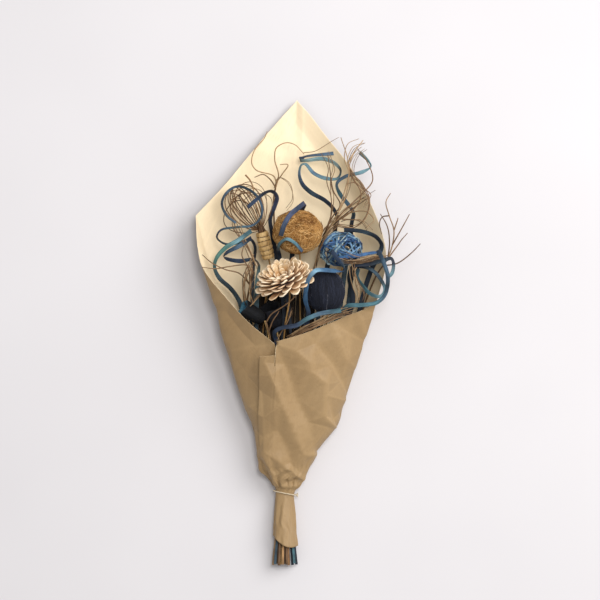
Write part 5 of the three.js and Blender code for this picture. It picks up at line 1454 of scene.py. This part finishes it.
dyed_cane = cane_finish()
for number, (name, slot, row, column, mouth_x, tones, points) in enumerate(CANES):
    route = stem_start(row, column, mouth_x) + points
    path = bent_through([p[:3] for p in route], CANE_SPAN)
    wide, thick = strip_axes(route, path, CANE_SPAN)
    at = np.linspace(0, len(route) - 1, len(path))
    above_foot, opened = np.clip(at, 0, 1), eased(at, MOUTH_POINT, 1)
    stem_wide = FOOT_WIDTH + (STEM_WIDTH - FOOT_WIDTH) * above_foot
    stem_thick = FOOT_THICKNESS + (STEM_THICKNESS - FOOT_THICKNESS) * above_foot
    widths = stem_wide + (CANE_WIDTH * SLIMMER.get(name, 1) - stem_wide) * opened
    thicknesses = stem_thick + (CANE_THICKNESS - stem_thick) * opened
    strip_points, strip_faces, strip_across = bands(path[None], wide[None], thick[None], widths, thicknesses)
    strip = crisp(add_piece(name + "_strip", placed(strip_points), strip_faces, [dyed_cane], [name]))
    walked = walked_along(path)
    past_foot = eased(walked, *FOOT_DYE_TO)[:, None]
    foot_dye = np.array(linear(*FOOT_TONES.get(name, tones[0])))
    dye = foot_dye * (1 - past_foot) + dye_along(tones, eased(at, MOUTH_POINT, len(points))) * past_foot
    paint(strip, "dye", np.repeat(dye, len(STRIP_SECTION), axis=0))
    paint(strip, "along", np.repeat(walked, len(STRIP_SECTION)))
    paint(strip, "across", strip_across)
    paint(strip, "number", np.full(len(strip_points), number * GRAIN_STEP))

# ------------------------------------------------------------------------------------ twigs
# Sprigs of brown curled vine: a trunk in the bundle that opens to thin wiry strands, each thinner
# towards its tip, some with short side shoots.
TWIGS = [  # name, row and column in the neck, x at the mouth, the trunk, and the strands
    ("twig_tip", 0, -1, -18,
     [(-18, 340, 12), (-19, 400, 13), (-21, 450, 16), (-21, 486, 22), (-19, 496, 26), (-18, 506, 30)],
     [
         [(-18, 503, 29), (-22, 511, 34), (-44, 518, 42), (-50, 527, 44), (-47, 543, 40),
          (-34, 560, 30), (-30, 569, 24)],
         [(-19, 495, 26), (-15, 512, 32), (-20, 532, 38), (-18, 547, 38), (-6, 554, 34),
          (6, 552, 28), (18, 541, 16)],
         [(-18, 503, 29), (-11, 512, 36), (-3, 525, 42), (-13, 525, 46)],
         [(-19, 496, 26), (-26, 506, 38), (-36, 512, 50), (-46, 508, 56)],
     ]),
    ("twig_bunch", 0, 0, 20,
     [(22, 340, 12), (34, 400, 14), (41, 424, 22), (44, 434, 36), (50, 441, 52), (58, 450, 60)],
     [
         [(44, 434, 36), (55, 456, 62), (65, 472, 66), (56, 491, 64), (52, 518, 60), (49, 538, 54)],
         [(50, 441, 52), (72, 460, 64), (103, 482, 60)],
         [(50, 441, 52), (64, 464, 72), (74, 491, 74), (76, 527, 68), (66, 560, 56)],
         [(58, 450, 60), (68, 462, 68), (91, 484, 72), (107, 504, 70), (99, 530, 64), (88, 545, 56)],
         [(76, 527, 68), (83, 540, 67), (95, 556, 62)],
         [(58, 450, 60), (76, 461, 62), (99, 463, 66), (109, 452, 70), (99, 442, 76)],
         [(58, 450, 60), (70, 456, 66), (86, 470, 70), (92, 486, 76), (84, 500, 80), (74, 498, 84)],
     ]),
    ("twig_outer", 1, 3, 80,
     [(94, 330, 26), (104, 360, 34), (113, 381, 48), (121, 393, 58), (127, 402, 62)],
     [
         [(127, 401, 62), (133, 420, 64), (135, 439, 62), (129, 458, 58), (125, 476, 54), (131, 488, 50)],
         [(133, 420, 64), (142, 436, 68), (155, 460, 70)],
         [(126, 400, 62), (136, 414, 58), (153, 436, 54)],
         [(121, 393, 58), (139, 396, 66), (156, 408, 68), (169, 421, 68)],
         [(135, 439, 62), (138, 447, 61), (141, 455, 60)],
         [(129, 458, 58), (120, 456, 66), (116, 447, 72), (119, 434, 76)],
         [(127, 401, 62), (129, 424, 72), (126, 444, 78), (117, 460, 80)],
     ]),
    ("twig_flower", 2, -2, -54,
     [(-55, 320, 41), (-56, 346, 43), (-52, 368, 54), (-47, 386, 66)],
     [
         [(-48, 382, 64), (-55, 393, 70), (-78, 392, 68), (-98, 389, 66), (-114, 391, 66)],
         [(-52, 368, 54), (-66, 383, 66), (-84, 388, 70), (-100, 396, 69), (-114, 407, 64)],
         [(-52, 368, 54), (-57, 378, 66), (-57, 388, 72), (-52, 398, 74), (-47, 408, 71)],
         [(-56, 346, 43), (-53, 362, 60), (-51, 378, 67), (-48, 390, 67)],
         [(-52, 368, 54), (-54, 390, 78), (-62, 406, 80), (-60, 418, 82)],
     ]),
    ("twig_front", 4, -1.5, -22,
     [(-26, 300, 70), (-31, 320, 80)],
     [
         [(-31, 319, 80), (-24, 330, 86), (-9, 340, 92), (5, 351, 97), (13, 361, 101)],
         [(-28, 306, 73), (-22, 322, 82), (-14, 334, 82)],
     ]),
    ("twig_low", 4, 0.5, 12,
     [(8, 290, 71), (5, 302, 77)],
     [
         [(6, 299, 76), (20, 311, 81), (45, 323, 84), (76, 332, 85)],
         [(6, 299, 76), (16, 306, 82), (40, 317, 85), (68, 328, 84)],
         [(6, 299, 76), (24, 314, 76), (46, 324, 75), (56, 328, 74)],
     ]),
]
TRUNK_END_RADIUS = 1.19
STRAND_RADIUS = 0.9
# Loose sheaves of finer strands of the same sprigs: sprig, how many, how far apart they start and
# end, and the path that they share.
SHEAVES = [
    ("twig_bunch", 4, 1.4, 5, [(36, 420, 46), (48, 440, 56), (62, 455, 62), (86, 475, 68), (104, 486, 66)]),
    ("twig_bunch", 4, 1.5, 4, [
        (60, 446, 60), (84, 444, 68), (98, 456, 70), (103, 478, 70), (92, 500, 68), (80, 516, 64),
        (85, 536, 58), (96, 546, 54)]),
    ("twig_bunch", 3, 1.5, 3, [
        (48, 440, 54), (54, 462, 58), (55, 484, 60), (51, 502, 56), (55, 520, 54), (48, 536, 50)]),
    ("twig_bunch", 3, 1, 3, [
        (64, 464, 72), (72, 492, 76), (78, 512, 74), (74, 530, 68), (80, 548, 62), (94, 556, 58)]),
    ("twig_bunch", 4, 1, 4, [(79, 517, 68), (84, 505, 72), (93, 494, 74), (103, 483, 74), (98, 472, 74)]),
    ("twig_bunch", 3, 1, 3, [(66, 452, 66), (80, 453, 72), (94, 450, 74), (104, 440, 74)]),
    ("twig_bunch", 7, 2.4, 3.5, [(32, 390, 40), (36, 405, 50), (41, 420, 58), (49, 434, 64), (62, 446, 68)]),
    ("twig_bunch", 6, 2, 4, [(80, 396, 78), (82, 384, 78), (86, 370, 76), (92, 356, 74), (90, 345, 73)]),
    ("twig_tip", 1, 0.1, 0.3, [(18, 541, 17), (34, 544, 20), (50, 553, 23), (66, 561, 26)]),
    ("twig_tip", 2, 1, 2, [(-19, 495, 26), (-12, 508, 34), (0, 500, 38), (4, 480, 40), (-2, 468, 40)]),
    ("twig_outer", 13, 2.2, 4, [(124, 404, 66), (108, 403, 80), (92, 399, 84), (78, 399, 84), (68, 402, 80)]),
    ("twig_flower", 7, 2, 4, [
        (-54, 330, 46), (-58, 348, 54), (-60, 366, 61), (-55, 382, 66), (-48, 396, 68)]),
    ("twig_flower", 4, 1.5, 3, [(-47, 330, 52), (-50, 350, 66), (-50, 366, 74), (-46, 378, 76)]),
    ("twig_flower", 6, 2, 4, [
        (-44, 392, 62), (-52, 408, 64), (-60, 424, 66), (-68, 440, 68), (-70, 452, 68)]),
    ("twig_flower", 5, 2, 3, [(-34, 362, 74), (-41, 353, 76), (-47, 344, 76)]),
    ("twig_low", 11, 2, 3.5, [(0, 300, 72), (18, 309, 80), (40, 319, 85), (60, 328, 85), (78, 334, 84)]),
    ("twig_front", 4, 1.2, 2, [(-24, 286, 66), (-14, 300, 74), (-6, 316, 74), (2, 334, 66)]),
]
SHEAF_RADIUS = 0.55
# Near-black strands low in the cone, which fill it under the heads as painted shade. Their number and routes
# are guessed.
INNER_STRANDS = 300
# Where the sprigs' bands of them begin, how wide the bands are together, and the share of a band
# that stays free at each of its sides.
INNER_BANDS = (-0.9, 1.65, 0.08)
INNER_GATES = [  # y, x in the middle, half the width, lowest z, and the height of the opening
    (112, -7, 7, 13, 3), (170, -6, 22, 12, 12), (235, -5, 38, 11, 16),
]
INNER_END = {"y": (345, 371), "x": -2, "across": 48, "z": 9}
INNER_RISE, LOW_RISE, LOW_BETWEEN = 16, 5, (-0.7, 0)  # lower where the flower and cups are above
TRUNK_SLIMMER, TRUNK_TONE = 0.1, 0.35
TRUNK_SPAN, TRUNK_SIDES = 14, 8
STRAND_SPAN, STRAND_SIDES = 12, 6
STRAND_WANDER = 0.25
# The inner strands are painted near black, as shade under the heads.
STRAND_TONES, INNER_SHADE_TONES = (0.2, 0.85), (0, 0.06)


def sheaf(count, apart_first, apart_last, path, draw):
    """Strands that follow one path loosely."""
    share = np.linspace(0, 1, len(path))[:, None]
    strands = []
    for _ in range(count):
        first, last = draw.normal(0, apart_first, 3), draw.normal(0, apart_last, 3)
        uneven = draw.normal(0, 0.9, (len(path), 3))
        strands.append(np.array(path) + first * (1 - share) + last * share + uneven)
    return strands


def inner_strand(draw, number):
    """From the neck up into the cone, to end hidden below the heads, beside the other sprigs' strands."""
    start, full, gap = INNER_BANDS
    band = start + full * (number + np.array([gap, 1 - gap])) / len(TWIGS)
    side, high = draw.uniform(*band), draw.uniform(0, 1)
    rise = LOW_RISE if LOW_BETWEEN[0] < side < LOW_BETWEEN[1] else INNER_RISE
    gates = [(x + across * side, y, z + up * high) for y, x, across, z, up in INNER_GATES]
    end_x = INNER_END["x"] + INNER_END["across"] * side
    return [*gates, (end_x, draw.uniform(*INNER_END["y"]), INNER_END["z"] + rise * high)]


twig_draw = np.random.default_rng(77)
wiry_vine = vine_finish("wiry_vine", linear(26, 20, 16), linear(124, 94, 66), linear(192, 162, 122))
for number, (name, row, column, mouth_x, trunk, strands) in enumerate(TWIGS):
    route = [p[:3] for p in stem_start(row, column, mouth_x)] + trunk
    path = bent_through(route, TRUNK_SPAN)
    radius = stem_radius(len(route), TRUNK_SPAN, TRUNK_END_RADIUS) - TRUNK_SLIMMER
    bodies = [tubes([path], radius[None], TRUNK_SIDES)]
    tones = [np.full(len(bodies[0][0]), TRUNK_TONE)]
    loose = [strand for sprig, *lay in SHEAVES if sprig == name for strand in sheaf(*lay, twig_draw)]
    inner = [inner_strand(twig_draw, number) for _ in range(INNER_STRANDS // len(TWIGS))]
    kinds = ["own"] * len(strands) + ["loose"] * len(loose) + ["inner"] * len(inner)
    for kind, strand in zip(kinds, [*strands, *loose, *inner]):
        path = bent_through(strand, STRAND_SPAN)
        wander = twig_draw.normal(0, STRAND_WANDER, (6, 3))
        share = np.linspace(0, 1, len(path))
        path += smooth_through(wander, np.linspace(0, 5, len(path))) * share[:, None]
        thick = SHEAF_RADIUS * twig_draw.uniform(0.8, 1.3) if kind == "loose" else STRAND_RADIUS
        radius = np.interp(share, [0, 0.7, 1], [thick, 0.8 * thick, 0.55 * thick])
        bodies.append(tubes([path], radius[None], STRAND_SIDES))
        tone = twig_draw.uniform(*(INNER_SHADE_TONES if kind == "inner" else STRAND_TONES))
        tones.append(np.full(len(bodies[-1][0]), tone))
    twig_points, twig_faces = joined(bodies)
    twig = add_piece(name + "_vine", placed(twig_points), twig_faces, [wiry_vine], [name])
    paint(twig, "tone", np.concatenate(tones))

# ------------------------------------------------------------------------------------ light and view
# The bouquet lies on a pale matt surface under soft studio light, the main light from the upper
# right and a smaller one from above. The camera hangs straight over the bouquet.
PHOTO_MIDDLE = (13, 348.4, 60)  # what the middle of the picture shows, from the stem ends
VIEW_WIDTH = 0.78
CAMERA_HEIGHT = 4.0
SENSOR_WIDTH = 36
SURFACE_REACH = 6
KEY_LIGHT = {"place": (1.8, 1.1, 2.1), "size": 2.4, "power": 74, "colour": (1.0, 0.985, 0.97)}
TOP_LIGHT = {"place": (0.35, 0.6, 3.2), "size": 0.9, "power": 41, "colour": (1.0, 0.99, 0.975)}
ROOM_LIGHT = {"colour": (0.99, 0.97, 0.95), "strength": 0.55}
middle = placed(PHOTO_MIDDLE)

surface_mesh = bpy.data.meshes.new("surface")
surface_corners = [(-1, -1), (1, -1), (1, 1), (-1, 1)]
surface_mesh.from_pydata(
    [(x * SURFACE_REACH, y * SURFACE_REACH, 0) for x, y in surface_corners], [], [(0, 1, 2, 3)]
)
surface = bpy.data.objects.new("surface", surface_mesh)
bpy.context.scene.collection.objects.link(surface)
backdrop = Finish("pale_surface", 0.9)
backdrop.colour(backdrop.ramp(
    backdrop.noise(3, 2), [(0.3, linear(206, 204, 207)), (0.7, linear(210, 208, 211))]
))
surface_mesh.materials.append(backdrop.material)


def soft_light(name, place, size, power, colour):
    light = bpy.data.lights.new(name, "AREA")
    light.shape = "DISK"
    light.size = size
    light.energy = power
    light.color = colour
    lamp = bpy.data.objects.new(name, light)
    lamp.location = place
    aim = Vector(middle) - Vector(place)
    lamp.rotation_euler = aim.to_track_quat("-Z", "Y").to_euler()
    bpy.context.scene.collection.objects.link(lamp)


soft_light("key_light", **KEY_LIGHT)
soft_light("top_light", **TOP_LIGHT)
world = bpy.data.worlds.new("studio")
world.use_nodes = True
room_light = world.node_tree.nodes["Background"]
room_light.inputs["Color"].default_value = (*ROOM_LIGHT["colour"], 1)
room_light.inputs["Strength"].default_value = ROOM_LIGHT["strength"]
bpy.context.scene.world = world
bpy.context.scene.view_settings.view_transform = "Standard"

camera_data = bpy.data.cameras.new("camera")
camera_data.sensor_width = SENSOR_WIDTH
camera_data.lens = SENSOR_WIDTH * (CAMERA_HEIGHT - middle[2]) / VIEW_WIDTH
camera_data.clip_end = 20
camera = bpy.data.objects.new("camera", camera_data)
camera.location = (middle[0], middle[1], CAMERA_HEIGHT)
bpy.context.scene.collection.objects.link(camera)
bpy.context.scene.camera = camera
